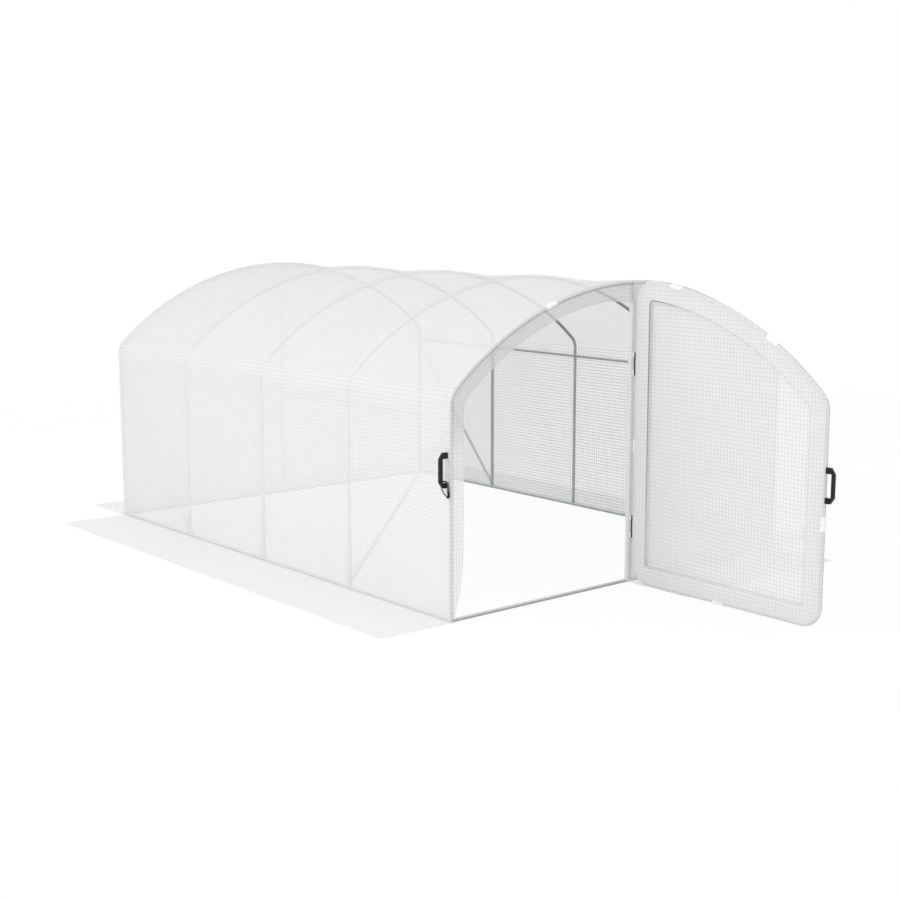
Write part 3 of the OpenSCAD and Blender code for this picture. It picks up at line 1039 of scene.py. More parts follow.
@dataclass
class Cover:
    """Film over the hoops: one sheet from ground to ground, rolled round the end hoops, with a lip."""

    line: HoopLine
    palette: Palette
    maker: FilmMaker
    film_r: float = 0.0140
    lip_w: float = 0.110
    lip_taper_z: float = 0.450
    lip_foot_w: float = 0.028
    lip_r: float = 0.170
    ridge_drop: float = 0.025
    ridge_span: float = 0.32
    lip_curl: float = 0.007
    lip_loose: float = 0.8
    purlin_z: float = 1.222
    drape: Drape = Drape(0.022, 1.6 * MM, 0.30)
    wall_sag: float = 0.007
    braced_sag: float = 0.0022
    hump_shares: Point2 = (0.6, 0.4)
    wall_foot: Point2 = (0.03, 0.05)
    roof_ease: Point2 = (0.015, 0.22)
    slope_shares: Point2 = (0.72, 0.28)
    loose_gain: float = 4.0
    post_clear: Point2 = (0.03, 0.2)
    wall_steps: int = 24
    bay_steps: int = 22
    roll_steps: int = 7
    lip_steps: int = 8
    rests: tuple[str, ...] = ("hoop_front", "hoop_middle", "hoop_back")
    sides: tuple[str, ...] = ("wall_left", "wall_right", "shoulder_left", "shoulder_right")
    roof_lengths: int = 6

    def lip_edge(self, x: float, z: float, s: float, ridge_s: float) -> Point2:
        """Place of the lip's free edge beside a point of the left half of the hoop.

        It is narrow at the foot, rounded at the shoulder and a little deeper under the ridge.

        Args:
            x: place across, left of the middle.
            z: height.
            s: length along the hoop from its left foot.
            ridge_s: that length at the ridge.

        Returns:
            Place across and height.
        """
        line = self.line
        deep = self.lip_w - line.tube_r
        if z < self.lip_taper_z:
            cut = self.lip_w - self.lip_foot_w
            r = (self.lip_taper_z**2 + cut**2) / (2 * cut)
            return deep - (r - math.sqrt(r * r - (self.lip_taper_z - z) ** 2)) - line.half_w, z
        mid_x = line.half_w - deep - self.lip_r
        turn_r = line.arc_r - deep - self.lip_r
        tilt = math.asin(mid_x / turn_r)
        mid_z = line.arc_z + turn_r * math.cos(tilt)
        last_s = ridge_s - line.arc_r * tilt
        if s <= mid_z:
            return deep - line.half_w, z
        if s < last_s:
            a = (math.pi / 2 - tilt) * (s - mid_z) / (last_s - mid_z)
            return -mid_x - self.lip_r * math.cos(a), mid_z + self.lip_r * math.sin(a)
        a = (ridge_s - s) / line.arc_r
        r = line.arc_r - deep - self.ridge_drop * float(ease(1 + x / self.ridge_span))
        return -r * math.sin(a), line.arc_z + r * math.cos(a)

    def slack_at(self, z: float, nz: float, y: float) -> float:
        """Share of the full sag at a place on the cover.

        Args:
            z: height.
            nz: upward part of the outward normal.
            y: place along.

        Returns:
            The share, 0 at the hoops.
        """
        if y <= 0 or y >= self.line.length:
            return 0.0
        bay_l = self.line.length / self.line.bays
        bay = min(int(y / bay_l), self.line.bays - 1)
        t = y / bay_l - bay
        wave, bow = self.hump_shares
        hump = wave * math.sin(math.pi * t) ** 2 + bow * 4 * t * (1 - t)
        if z < self.purlin_z:
            depth = self.braced_sag if bay in (0, self.line.bays - 1) else self.wall_sag
            rise = max(0.0, (z - self.wall_foot[0]) / (self.purlin_z - self.wall_foot[1]))
            return hump * depth / self.drape.sag * math.sin(math.pi * min(rise, 1.0))
        start, length = self.roof_ease
        level, slope = self.slope_shares
        return hump * float(ease((z - self.purlin_z - start) / length)) * (level + slope * nz)

    def path(self) -> list[Point2]:
        """Draws the lengthwise section from the back hoop to the front one.

        Returns:
            Points of the height over the hoop's line, and y.
        """
        r, length, turns = self.film_r, self.line.length, self.roll_steps
        back = [math.pi / 2 * (1 - i / turns) for i in range(turns)]
        front = [math.pi / 2 * i / turns for i in range(turns + 1)]
        n = self.line.bays * self.bay_steps
        path = [(r * math.cos(a), length + r * math.sin(a)) for a in back]
        path += [(r, length * (1 - i / n)) for i in range(n)]
        return path + [(r * math.cos(a), -r * math.sin(a)) for a in front]

    def build(self) -> Object:
        """Builds the cover.

        Returns:
            The finished film.
        """
        rows = self.line.samples(self.wall_steps)
        mid = len(rows) // 2
        path = self.path()
        run = run_along(path)
        kept: list[tuple[Any, ...]] = []

        def keep(at: Point3, flat: Point2, way: Point3, sag: float, wave: float) -> int:
            """Stores one point and returns its number."""
            kept.append(((at[0], at[1], max(at[2], FILM_T)), flat, way, sag, wave))
            return len(kept) - 1

        grid = []
        for x, z, nx, nz, s in rows:
            row = []
            for (a, y), v in zip(path, run):
                share = self.slack_at(z, nz, y)
                at = (x + nx * a, y, z + nz * a)
                row.append(keep(at, (s, v), (nx, 0.0, nz), share, min(1.0, share * self.loose_gain)))
            grid.append(row)
        strip = []
        for i, (x, z, _, _, s) in enumerate(rows[: mid + 1]):
            edge_x, edge_z = self.lip_edge(x, z, s, rows[mid][4])
            deep = math.hypot(edge_x - x, edge_z - z)
            clear = float(ease((abs(x) - self.post_clear[0]) / self.post_clear[1]))
            row = [grid[i][-1]]
            for k in range(1, self.lip_steps + 1):
                share = k / self.lip_steps
                y = self.lip_curl * share**2 * clear - self.film_r
                at = (x + (edge_x - x) * share, y, z + (edge_z - z) * share)
                flat = (s, run[-1] + deep * share)
                row.append(keep(at, flat, (0.0, -1.0, 0.0), 0.0, share * clear * self.lip_loose))
            strip.append(row)
        body, lip = grid_faces(grid), grid_faces(strip)
        points, uv, outward, slack, loose = (np.array(values) for values in zip(*kept))
        film = FilmMesh(points, body + lip, uv, outward, slack, loose)
        finish = FilmFinish(self.palette.film, self.palette.film_inside, self.palette.lip, len(body))
        obj = self.maker.hang("cover", film, finish, self.drape)
        flat = (float(rows[-1][4]), float(run[-1] + self.lip_w + self.ridge_drop))
        lengths = [f"roof_{k + 1}" for k in range(self.roof_lengths)]
        nodes = [f"cover_{part}" for part in (*self.sides, *lengths, "lip")]
        return self.maker.declare(obj, film, flat, self.rests, nodes)


@dataclass
class EndPanels:
    """Films over the ends: the whole back, and the fixed half of the front that wraps the centre post."""

    line: HoopLine
    palette: Palette
    maker: FilmMaker
    plane: float = 0.0129
    lap: float = 0.005
    wrap_r: float = 0.0133
    wrap_top: float = 1.912
    wrap_steps: int = 12
    flap_w: float = 0.060
    flap_steps: int = 4
    pitch: float = 0.05
    slack_in: float = 0.35
    post_clear: float = 0.02
    foot_in: float = 0.3
    drape: Drape = Drape(0.010, 2.0 * MM, 0.35)

    def outline(self) -> list[Point2]:
        """Right half of an end, from the foot up to the ridge, in x and z."""
        rows = self.line.half_samples(1)
        return [(x + nx * self.lap, max(z + nz * self.lap, FILM_T)) for x, z, nx, nz in rows]

    def film(self, outline: list[Point2], y: float, way: float) -> FilmMesh:
        """Flat film with slack away from its edges.

        Args:
            outline: its outline in x and z.
            y: plane that it hangs in.
            way: outward direction along y.

        Returns:
            The film.
        """
        across = [u for u, _ in outline]
        v_lines = steps(0.0, max(v for _, v in outline), self.pitch) + [self.wrap_top]
        flat, faces = cut_flat(outline, steps(min(across), max(across), self.pitch), v_lines)
        points = np.column_stack([flat[:, 0], np.full(len(flat), y), flat[:, 1]])
        side = ease((self.line.half_w - np.abs(flat[:, 0])) / self.slack_in)
        post = ease((np.abs(flat[:, 0]) - self.post_clear) / self.slack_in)
        arch = self.line.arc_z + np.sqrt(self.line.arc_r**2 - flat[:, 0] ** 2) - flat[:, 1]
        share = side * post * ease(arch / self.slack_in) * ease(flat[:, 1] / self.foot_in)
        outward = np.tile([0.0, way, 0.0], (len(flat), 1))
        return FilmMesh(points, faces, flat.copy(), outward, share, share)

    def wrap_post(self, film: FilmMesh) -> FilmMesh:
        """Carries the front film round the centre post and back inside it.

        Args:
            film: flat front film, ending over the post.

        Returns:
            The film with its wrapped edge.
        """
        edge = [i for i, p in enumerate(film.points) if abs(p[0]) < 1e-6 and p[2] < self.wrap_top + 1e-6]
        edge.sort(key=lambda i: film.points[i][2])
        path = [(0.0, -self.plane)]
        for k in range(1, self.wrap_steps + 1):
            a = math.pi * k / self.wrap_steps
            path.append((-self.wrap_r * math.sin(a), -self.wrap_r * math.cos(a)))
        path += [(self.flap_w * k / self.flap_steps, self.wrap_r) for k in range(1, self.flap_steps + 1)]
        points, uv, faces = film.points.tolist(), film.uv.tolist(), list(film.faces)
        before = edge
        for (x, y), u in list(zip(path, run_along(path)))[1:]:
            row = list(range(len(points), len(points) + len(edge)))
            points += [[x, y, film.points[i][2]] for i in edge]
            uv += [[-u, film.points[i][2]] for i in edge]
            faces += [(before[k], before[k + 1], row[k + 1], row[k]) for k in range(len(edge) - 1)]
            before = row
        extra = len(points) - len(film.points)
        outward = np.vstack([film.outward, np.tile([0.0, -1.0, 0.0], (extra, 1))])
        slack, loose = (np.concatenate([values, np.zeros(extra)]) for values in (film.slack, film.loose))
        return FilmMesh(np.array(points), faces, np.array(uv), outward, slack, loose)

    def build(self) -> list[Object]:
        """Builds both films.

        Returns:
            Back and front films.
        """
        skins = (self.palette.film, self.palette.film_inside)
        half = self.outline()
        width, height = self.line.half_w + self.lap, self.line.ridge_z + self.lap
        back = self.film(half + [(-x, z) for x, z in half[-2::-1]], self.line.length + self.plane, 1.0)
        back_obj = self.maker.hang("back_panel", back, FilmFinish(*skins), self.drape)
        self.maker.declare(back_obj, back, (2 * width, height), ["hoop_back"], ["cover_back"])
        flat_front = self.film(half + [(0.0, FILM_T)], -self.plane, -1.0)
        front = self.wrap_post(flat_front)
        wrapped = FilmFinish(*skins, self.palette.wrap, len(flat_front.faces))
        front_obj = self.maker.hang("front_panel", front, wrapped, self.drape)
        size = (width + (math.pi * self.wrap_r + self.flap_w), height)
        self.maker.declare(front_obj, front, size, ["hoop_front", "centre_post_front"], ["cover_front"])
        return [back_obj, front_obj]


@dataclass
class Skirts:
    """Flaps of film that lie on the ground round the tunnel, turned up against its walls."""

    line: HoopLine
    palette: Palette
    maker: FilmMaker
    width: float = 0.505
    corner_r: float = 0.030
    corner_steps: int = 6
    wall_off: float = 0.0153
    turn_r: float = 0.012
    turn_steps: int = 5
    rise: float = 0.010
    level: float = 0.9 * MM
    pitch: float = 0.06
    loose_in: float = 0.25
    drape: Drape = Drape(2.2 * MM, 1.9 * MM, 0.42)

    def outline(self, length: float, cross: float) -> list[Point2]:
        """Flat cut of a flap: across from its turned-up edge, and along.

        Args:
            length: length along the wall.
            cross: flat width.

        Returns:
            Anticlockwise outline.
        """
        points, r = [(0.0, 0.0)], self.corner_r
        for at, start in ((r, -math.pi / 2), (length - r, 0.0)):
            for k in range(self.corner_steps + 1):
                a = start + math.pi / 2 * k / self.corner_steps
                points.append((cross - r + r * math.cos(a), at + r * math.sin(a)))
        return points + [(0.0, length)]

    def flap(self, side: str, length: float, place: Place, rests: str) -> Object:
        """Builds one flap.

        Args:
            side: side of the tunnel that it lies on.
            length: length along the wall.
            place: world place of a distance from the wall, a distance along and a height.
            rests: what it hangs from; not used.

        Returns:
            The flap.
        """
        quarter = math.pi / 2 * self.turn_r
        bent = self.rise + quarter
        cross = bent + self.width - self.turn_r
        turn = [self.rise + quarter * k / self.turn_steps for k in range(self.turn_steps + 1)]
        lines = turn + [bent + d for d in steps(0.0, cross - bent, self.pitch)]
        flat, faces = cut_flat(self.outline(length, cross), lines, steps(0.0, length, self.pitch))
        points = []
        for u, v in flat:
            if u < self.rise:
                off, z = 0.0, self.turn_r + self.rise - u
            elif u < bent:
                a = (u - self.rise) / self.turn_r
                off, z = self.turn_r * (1 - math.cos(a)), self.turn_r * (1 - math.sin(a))
            else:
                off, z = u - bent + self.turn_r, 0.0
            points.append(place(off, v, z + self.level))
        away = ease((flat[:, 0] - bent) / self.loose_in)
        up = np.tile([0.0, 0.0, 1.0], (len(flat), 1))
        film = FilmMesh(np.array(points), faces, flat.copy(), up, -away, away)
        obj = self.maker.hang(f"{side}_skirt", film, FilmFinish(self.palette.skirt), self.drape)
        return self.maker.declare(obj, film, (cross, length), [rests], [f"skirt_{side}"], hold=Hold.LAID)

    def build(self) -> list[Object]:
        """Builds the four flaps.

        Returns:
            Left, right, back and front flaps.
        """
        end = self.wall_off
        edge, back_y = self.line.half_w + end, self.line.length + end
        long = self.line.length + 2 * end
        return [
            self.flap("left", long, lambda d, s, z: (-edge - d, s - end, z), "cover"),
            self.flap("right", long, lambda d, s, z: (edge + d, s - end, z), "cover"),
            self.flap("back", 2 * edge, lambda d, s, z: (s - edge, back_y + d, z), "back_panel"),
            self.flap("front", edge, lambda d, s, z: (s, -end - d, z), "front_panel"),
        ]


@dataclass
class DoorCover:
    """Film of the door: a panel on the outer face, rolled round the frame and hemmed on the inner face."""

    line: DoorLine
    palette: Palette
    maker: FilmMaker
    film_r: float = 0.0123
    hem_w: float = 0.1067
    hem_shift: Point2 = (0.0118, 0.0071)
    hem_steps: int = 6
    roll_steps: int = 12
    bead_r: float = 0.0030
    bead_sides: int = 8
    # radius and place round the roll of the bead of painted shade
    shade_line_r: float = 0.0019
    shade_line_turn: float = math.radians(-12.0)
    soften_m: float = 0.026
    soften_step: float = 0.004
    slack_in: float = 0.4
    pitch: float = 0.05
    drape: Drape = Drape(0.004, 2.2 * MM, 0.33)

    def softened(self, loop: np.ndarray) -> np.ndarray:
        """Rounds the corners of a closed chain of points.

        Args:
            loop: rows of two.

        Returns:
            The rounded chain, point for point.
        """
        step = self.soften_step
        closed = np.vstack([loop, loop[:1]])
        run = run_along(closed)
        even = np.linspace(0.0, run[-1], int(run[-1] / step), endpoint=False)
        dense = np.column_stack([np.interp(even, run, closed[:, k]) for k in (0, 1)])
        reach = int(3 * self.soften_m / step)
        offsets = range(-reach, reach + 1)
        weights = np.exp(-0.5 * (np.array(offsets) * step / self.soften_m) ** 2)
        weights /= weights.sum()
        rounded = sum(w * np.roll(dense, k, axis=0) for k, w in zip(offsets, weights))
        again = np.vstack([rounded, rounded[:1]])
        places = np.append(even, run[-1])
        return np.column_stack([np.interp(run[:-1], places, again[:, k]) for k in (0, 1)])

    def build(self) -> list[Object]:
        """Builds the door's film, its hem's bead and a thin bead of painted shade along its fold.

        Returns:
            The pieces.
        """
        outline = np.array(self.line.outline())
        (low_u, low_v), (high_u, high_v) = outline.min(axis=0).tolist(), outline.max(axis=0).tolist()
        u_lines, v_lines = steps(low_u, high_u, self.pitch), steps(low_v, high_v, self.pitch)
        flat, faces = cut_flat(outline.tolist(), u_lines, v_lines)
        loop = rim_loop(faces)
        finish = FilmFinish(self.palette.door, None, self.palette.doubled, len(faces))
        edge = flat[loop]
        ahead = np.roll(edge, -1, axis=0) - np.roll(edge, 1, axis=0)
        ahead /= np.linalg.norm(ahead, axis=1)[:, None]
        normal = np.column_stack([ahead[:, 1], -ahead[:, 0]])
        points = [self.line.place(u, v, -self.film_r) for u, v in flat]
        uv = [tuple(p) for p in flat]
        gap = np.array([np.min(np.hypot(*(edge - p).T)) for p in flat])
        slack = list(ease(gap / self.slack_in))
        before = loop

        def add_row(places: np.ndarray, q: float, on_flat: np.ndarray) -> None:
            """Adds a closed row of points and joins it to the last.

            Args:
                places: rows of distance from the hinge axis and height.
                q: offset towards the inner face.
                on_flat: the same points on the flat film.
            """
            nonlocal before
            row = list(range(len(points), len(points) + len(places)))
            points.extend(self.line.place(u, v, q) for u, v in places)
            uv.extend((u, v) for u, v in on_flat)
            slack.extend([0.0] * len(places))
            for k in range(len(row)):
                m = (k + 1) % len(row)
                faces.append((before[m], before[k], row[k], row[m]))
            before = row

        for k in range(1, self.roll_steps + 1):
            a = -math.pi / 2 + math.pi * k / self.roll_steps
            on_flat = edge + normal * (self.film_r * (a + math.pi / 2))
            add_row(edge + normal * (self.film_r * math.cos(a)), self.film_r * math.sin(a), on_flat)
        inner = self.softened(edge - normal * self.hem_w)
        for k in range(1, self.hem_steps + 1):
            share = k / self.hem_steps
            places = edge * (1 - share) + inner * share
            add_row(places, self.film_r, places + np.array(self.hem_shift))
        outward = np.tile([1.0, 0.0, 0.0], (len(points), 1))
        film = FilmMesh(np.array(points), faces, np.array(uv), outward, np.array(slack), np.array(slack))
        obj = self.maker.hang("door_cover", film, finish, self.drape)
        # painted shade: a thin grey bead along the roll's outer edge
        fold = edge + normal * (self.film_r * math.cos(self.shade_line_turn))
        fold_q = self.film_r * math.sin(self.shade_line_turn)
        pieces = [
            self.bead("door_hem_bead", inner, self.film_r + FILM_T / 2, self.bead_r, self.palette.hem_edge),
            self.bead("door_edge_shade_line", fold, fold_q, self.shade_line_r, self.palette.edge_shade_line),
        ]
        size = (high_u - low_u + 2 * self.hem_w, high_v - low_v + 2 * self.hem_w)
        self.maker.declare(obj, film, size, ["door_frame"], ["door_film", "door_hem"], body=Body.DOOR)
        return [obj] + pieces

    def bead(self, name: str, loop: np.ndarray, rise: float, radius: float, finish: Material) -> Object:
        """Builds a thin round bead along a closed chain on the door.

        Args:
            name: name of the piece.
            loop: rows of distance from the hinge axis and height.
            rise: place across the door.
            radius: radius of the bead.
            finish: its finish.

        Returns:
            The piece.
        """
        mesh = bpy.data.meshes.new(name)
        chain = [self.line.place(u, v, rise) for u, v in loop]
        mesh.from_pydata(chain, [(k, (k + 1) % len(chain)) for k in range(len(chain))], [])
        obj = new_object(name, mesh)
        run_tree(obj, self.maker.trees.bead, {"Radius": radius, "Sides": self.bead_sides, "Finish": finish})
        smooth(obj.data, SHARP_ROUND)
        ride_as(obj, Body.DOOR, Slot.FILM)
        log.info("%s: %d faces", name, len(obj.data.polygons))
        return obj


# Rigid pieces


def tube_along(
    bm: bmesh.types.BMesh, path: Sequence[Vector], radii: Sequence[float], side: Vector, sides: int = 16
) -> None:
    """Adds a closed round tube along a flat path.

    Args:
        bm: mesh to add to.
        path: points of the path.
        radii: radius at each point.
        side: direction square to the path's plane.
        sides: sides of the tube.
    """
    angles = [2 * math.pi * k / sides for k in range(sides)]
    rings = []
    for i, (at, r) in enumerate(zip(path, radii)):
        ahead = (path[min(i + 1, len(path) - 1)] - path[max(i - 1, 0)]).normalized()
        across = ahead.cross(side).normalized()
        rings.append([bm.verts.new(at + (across * math.cos(a) + side * math.sin(a)) * r) for a in angles])
    join_rings(bm, rings)
    bm.faces.new(rings[0][::-1])
    bm.faces.new(rings[-1])


def rigid(
    name: str,
    bm: bmesh.types.BMesh,
    material: Material,
    body: Body,
    slot: Slot,
    nodes: Sequence[str] = (),
    angle: float = 35.0,
) -> Object:
    """Finishes a rigid piece.

    Args:
        name: name of the piece.
        bm: its mesh, freed here.
        material: its finish.
        body: body that it rides on.
        slot: material slot of the record; not used.
        nodes: solids that it replaces.
        angle: edges over this angle stay sharp.

    Returns:
        The piece.
    """
    bmesh.ops.recalc_face_normals(bm, faces=bm.faces[:])
    mesh = bpy.data.meshes.new(name)
    bm.to_mesh(mesh)
    bm.free()
    mesh.materials.append(material)
    smooth(mesh, angle)
    obj = new_object(name, mesh)
    ride_as(obj, body, slot)
    if nodes:
        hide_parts(*nodes)
    log.info("%s: %d faces", name, len(mesh.polygons))
    return obj


@dataclass
class Grip:
    """Moulded pull handle: a flat bar on two deep arms, with cut corners and its edges rounded."""

    name: str
    node: str
    body: Body
    place: Place
    palette: Palette
    seat_r: float = 0.0
    height: float = 0.207
    reach: float = 0.059
    width: float = 0.020
    bar: float = 0.0215
    arm: float = 0.0350
    low_arm: float = 0.0335
    cut: float = 0.025
    cut_h: float = 0.035
    edge_r: float = 0.0016
    edge_turn: float = 0.45
    slices: int = 8

    def outline(self, across: float) -> list[Point2]:
        """Outline of the handle in one slice, out from its seat on a flat face or round a tube, and up.

        Args:
            across: place of the slice.

        Returns:
            Anticlockwise points.
        """
        base = math.sqrt(self.seat_r**2 - across**2) - self.seat_r if self.seat_r else 0.0
        neck, top = self.reach - self.bar, self.height - self.arm
        return [
            (base, 0.0),
            (self.reach - self.cut, 0.0),
            (self.reach, self.cut_h),
            (self.reach, self.height - self.cut_h),
            (self.reach - self.cut, self.height),
            (base, self.height),
            (base, top),
            (neck, top),
            (neck, self.low_arm),
            (base, self.low_arm),
        ]

    def build(self) -> Object:
        """Builds the handle.

        Returns:
            The piece.
        """
        bm = bmesh.new()
        rings = []
        for k in range(self.slices + 1):
            across = self.width * (k / self.slices - 0.5)
            rings.append([bm.verts.new((d, across, z)) for d, z in self.outline(across)])
        join_rings(bm, rings)
        for ring in (rings[0], rings[-1]):
            bm.faces.new(ring)
        bmesh.ops.recalc_face_normals(bm, faces=bm.faces[:])
        sharp = [e for e in bm.edges if e.calc_face_angle(0.0) > self.edge_turn]
        bevel = {"offset": self.edge_r, "segments": 3, "profile": 0.5}
        bmesh.ops.bevel(bm, geom=sharp, affect="EDGES", clamp_overlap=True, **bevel)
        for v in bm.verts:
            v.co = Vector(self.place(*v.co))
        return rigid(self.name, bm, self.palette.grip, self.body, Slot.GRIP, [self.node], SHARP_GRIP)


@dataclass
class SnapHook:
    """Spring hook on the jamb's handle: a wide bow round the arm, a spine, a thin gate and a sleeve."""

    palette: Palette
    centre: Vector = field(default_factory=lambda: Vector((-1.5211, 0.012, 0.8195)))
    turn: float = math.radians(20.0)
    lean: float = math.radians(19.0)  # the shut door's handle passes 5 mm clear
    bow_r: float = 0.0231
    end_r: float = 0.0070
    run: float = 0.0639
    bow_bar_r: float = 0.0055
    tip_share: float = 0.9
    spine_bar_r: float = 0.0074
    sleeve_share: float = 1.08
    gate_r: float = 0.0034
    gate_bulge: float = 0.008
    bow_steps: int = 30
    end_steps: int = 14
    spine_steps: int = 12
    gate_steps: int = 16
    stout_after: int = 5
    sleeve_steps: tuple[int, int] = (4, 10)

    def at(self, u: float, v: float) -> Vector:
        """World place of a point of the hook.

        Args:
            u: place across the upright hook, towards the spine.
            v: height from the middle of the upper bow.

        Returns:
            The place, turned and leaning.
        """
        across = u * math.cos(self.lean) - v * math.sin(self.lean)
        up = u * math.sin(self.lean) + v * math.cos(self.lean)
        return self.centre + Vector((across * math.sin(self.turn), -across * math.cos(self.turn), up))

    def build(self) -> list[Object]:
        """Builds the hook, its gate and its sleeve.

        Returns:
            The pieces.
        """
        flare = math.asin((self.bow_r - self.end_r) / self.run)
        side = Vector((math.cos(self.turn), math.sin(self.turn), 0.0))

        def ring(r: float, low: float, start: float, end: float, n: int) -> list[Point2]:
            """Places round one of the bows."""
            return [(r * math.cos(a), low + r * math.sin(a)) for a in np.linspace(start, end, n)]

        def between(one: Point2, two: Point2, bulge: float, n: int) -> list[Point2]:
            """Places from one point to another, bulging to the gate's side."""
            return [
                (one[0] + (two[0] - one[0]) * t - bulge * 4 * t * (1 - t), one[1] + (two[1] - one[1]) * t)
                for t in np.linspace(0.0, 1.0, n)
            ]

        bow = ring(self.bow_r, 0.0, math.pi + flare, -flare, self.bow_steps)
        end = ring(self.end_r, -self.run, -flare, -math.pi + flare, self.end_steps)
        spine = between(bow[-1], end[0], 0.0, self.spine_steps)[1:-1]
        path = bow + spine + end
        thin, stout = self.bow_bar_r, self.spine_bar_r
        knots = [0, len(bow), len(bow) + self.stout_after, len(bow) + len(spine), len(path) - 1]
        radii = np.interp(range(len(path)), knots, [thin * self.tip_share, thin, stout, stout, thin])
        gate = between(end[-1], bow[0], self.gate_bulge, self.gate_steps)
        sleeve = spine[-self.sleeve_steps[0] :] + end[: self.sleeve_steps[1]]
        sleeve_r = [stout * self.sleeve_share] * len(sleeve)
        pieces = []
        for name, line, sizes, finish, slot, nodes in (
            ("snap_hook_spine", path, radii, self.palette.hook, Slot.HOOK, ["snap_hook"]),
            ("snap_hook_gate", gate, [self.gate_r] * len(gate), self.palette.hook, Slot.HOOK, []),
            ("snap_hook_sleeve", sleeve, sleeve_r, self.palette.grip, Slot.GRIP, []),
        ):
            bm = bmesh.new()
            tube_along(bm, [self.at(*p) for p in line], list(sizes), side)
            pieces.append(rigid(name, bm, finish, Body.TUNNEL, slot, nodes, SHARP_ROUND))
        return pieces


@dataclass
class Clips:
    """White snap-on clips that hold the film to the front hoop and to the door's frame."""

    hoop: HoopLine
    door: DoorLine
    palette: Palette
    length: float = 0.086
    wall: float = 0.0026
    deep: float = 0.023
    hoop_r: float = 0.0150
    door_r: float = 0.0136
    hoop_turn: float = 19.0
    door_turns: tuple[float, ...] = (9.5, 31.5)
    side_z: float = 0.630
    hinge_z: float = 0.900
    foot_x: float = 0.735
    arc_steps: int = 14
    shares: tuple[float, ...] = (0.0, 0.03, 0.1, 0.3, 0.5, 0.7, 0.9, 0.97, 1.0)
    end_pinch: float = 0.93

    def section(self, r: float, start: float, end: float) -> list[Point2]:
        """Closed section of a clip: an arc with two straight legs, outwards and across.

        Args:
            r: inner radius.
            start: first angle of the arc.
            end: last angle of the arc.

        Returns:
            Anticlockwise points.
        """
        leg = self.deep - r - self.wall
        arc = [start + (end - start) * k / self.arc_steps for k in range(self.arc_steps + 1)]
        rows = []
        for radius in (r + self.wall, r):
            line = [(radius * math.cos(a), radius * math.sin(a)) for a in arc]
            first = (line[0][0] + math.sin(start) * leg, line[0][1] - math.cos(start) * leg)
            last = (line[-1][0] - math.sin(end) * leg, line[-1][1] + math.cos(end) * leg)
            rows.append([first] + line + [last])
        return rows[0] + rows[1][::-1]

    def sweep(self, bm: bmesh.types.BMesh, section: list[Point2], place: Place) -> None:
        """Adds one clip along a run.

        Args:
            bm: mesh to add to.
            section: closed section.
            place: world place of outwards, across and a share along the clip.
        """
        rings = []
        for s in self.shares:
            pinch = self.end_pinch if s in (0.0, 1.0) else 1.0
            rings.append([bm.verts.new(place(o * pinch, c, s)) for o, c in section])
        join_rings(bm, rings)
        n = len(section)
        for ring in (rings[0], rings[-1]):
            for k in range(n // 2 - 1):
                bm.faces.new((ring[k], ring[k + 1], ring[n - 2 - k], ring[n - 1 - k]))

    def on_arc(self, line: HoopLine | DoorLine, turn: float, o: float, s: float) -> Point2:
        """Place of a clip's point on an arc.

        Args:
            line: centre line with the arc.
            turn: degrees from the top of the arc to the clip's middle, to the left.
            o: distance outwards.
            s: share along the clip.

        Returns:
            Distance from the arc's middle, and height.
        """
        a = math.pi / 2 + math.radians(turn) + (s - 0.5) * (self.length / line.arc_r)
        r = line.arc_r + o
        return r * math.cos(a), line.arc_z + r * math.sin(a)

    def build(self) -> list[Object]:
        """Builds the clips of the hoop and of the door.

        Returns:
            Both pieces.
        """

        def on_hoop(o: float, c: float, s: float) -> Point3:
            """World place on the front hoop."""
            x, z = self.on_arc(self.hoop, self.hoop_turn, o, s)
            return (x, -c, z)

        bm = bmesh.new()
        self.sweep(bm, self.section(self.hoop_r, 0.0, math.pi / 2), on_hoop)
        front = rigid("front_clips", bm, self.palette.clip, Body.TUNNEL, Slot.CLIP, ["hoop_clips"])
        bm = bmesh.new()
        door, along = self.door, self.length
        bow = self.section(self.door_r, -math.pi / 2, math.pi / 2)
        for turn in self.door_turns:
            self.sweep(bm, bow, lambda o, c, s: door.place(*self.on_arc(door, -turn, o, s), c))
        for place in (
            lambda o, c, s: door.place(door.width + o, self.side_z + (s - 0.5) * along, c),
            lambda o, c, s: door.place(door.inset - o, self.hinge_z + (s - 0.5) * along, c),
            lambda o, c, s: door.place(self.foot_x + (s - 0.5) * along, door.foot_z - o, c),
        ):
            self.sweep(bm, bow, place)
        edge = rigid("door_edge_clips", bm, self.palette.clip, Body.DOOR, Slot.CLIP, ["door_clips"])
        return [front, edge]


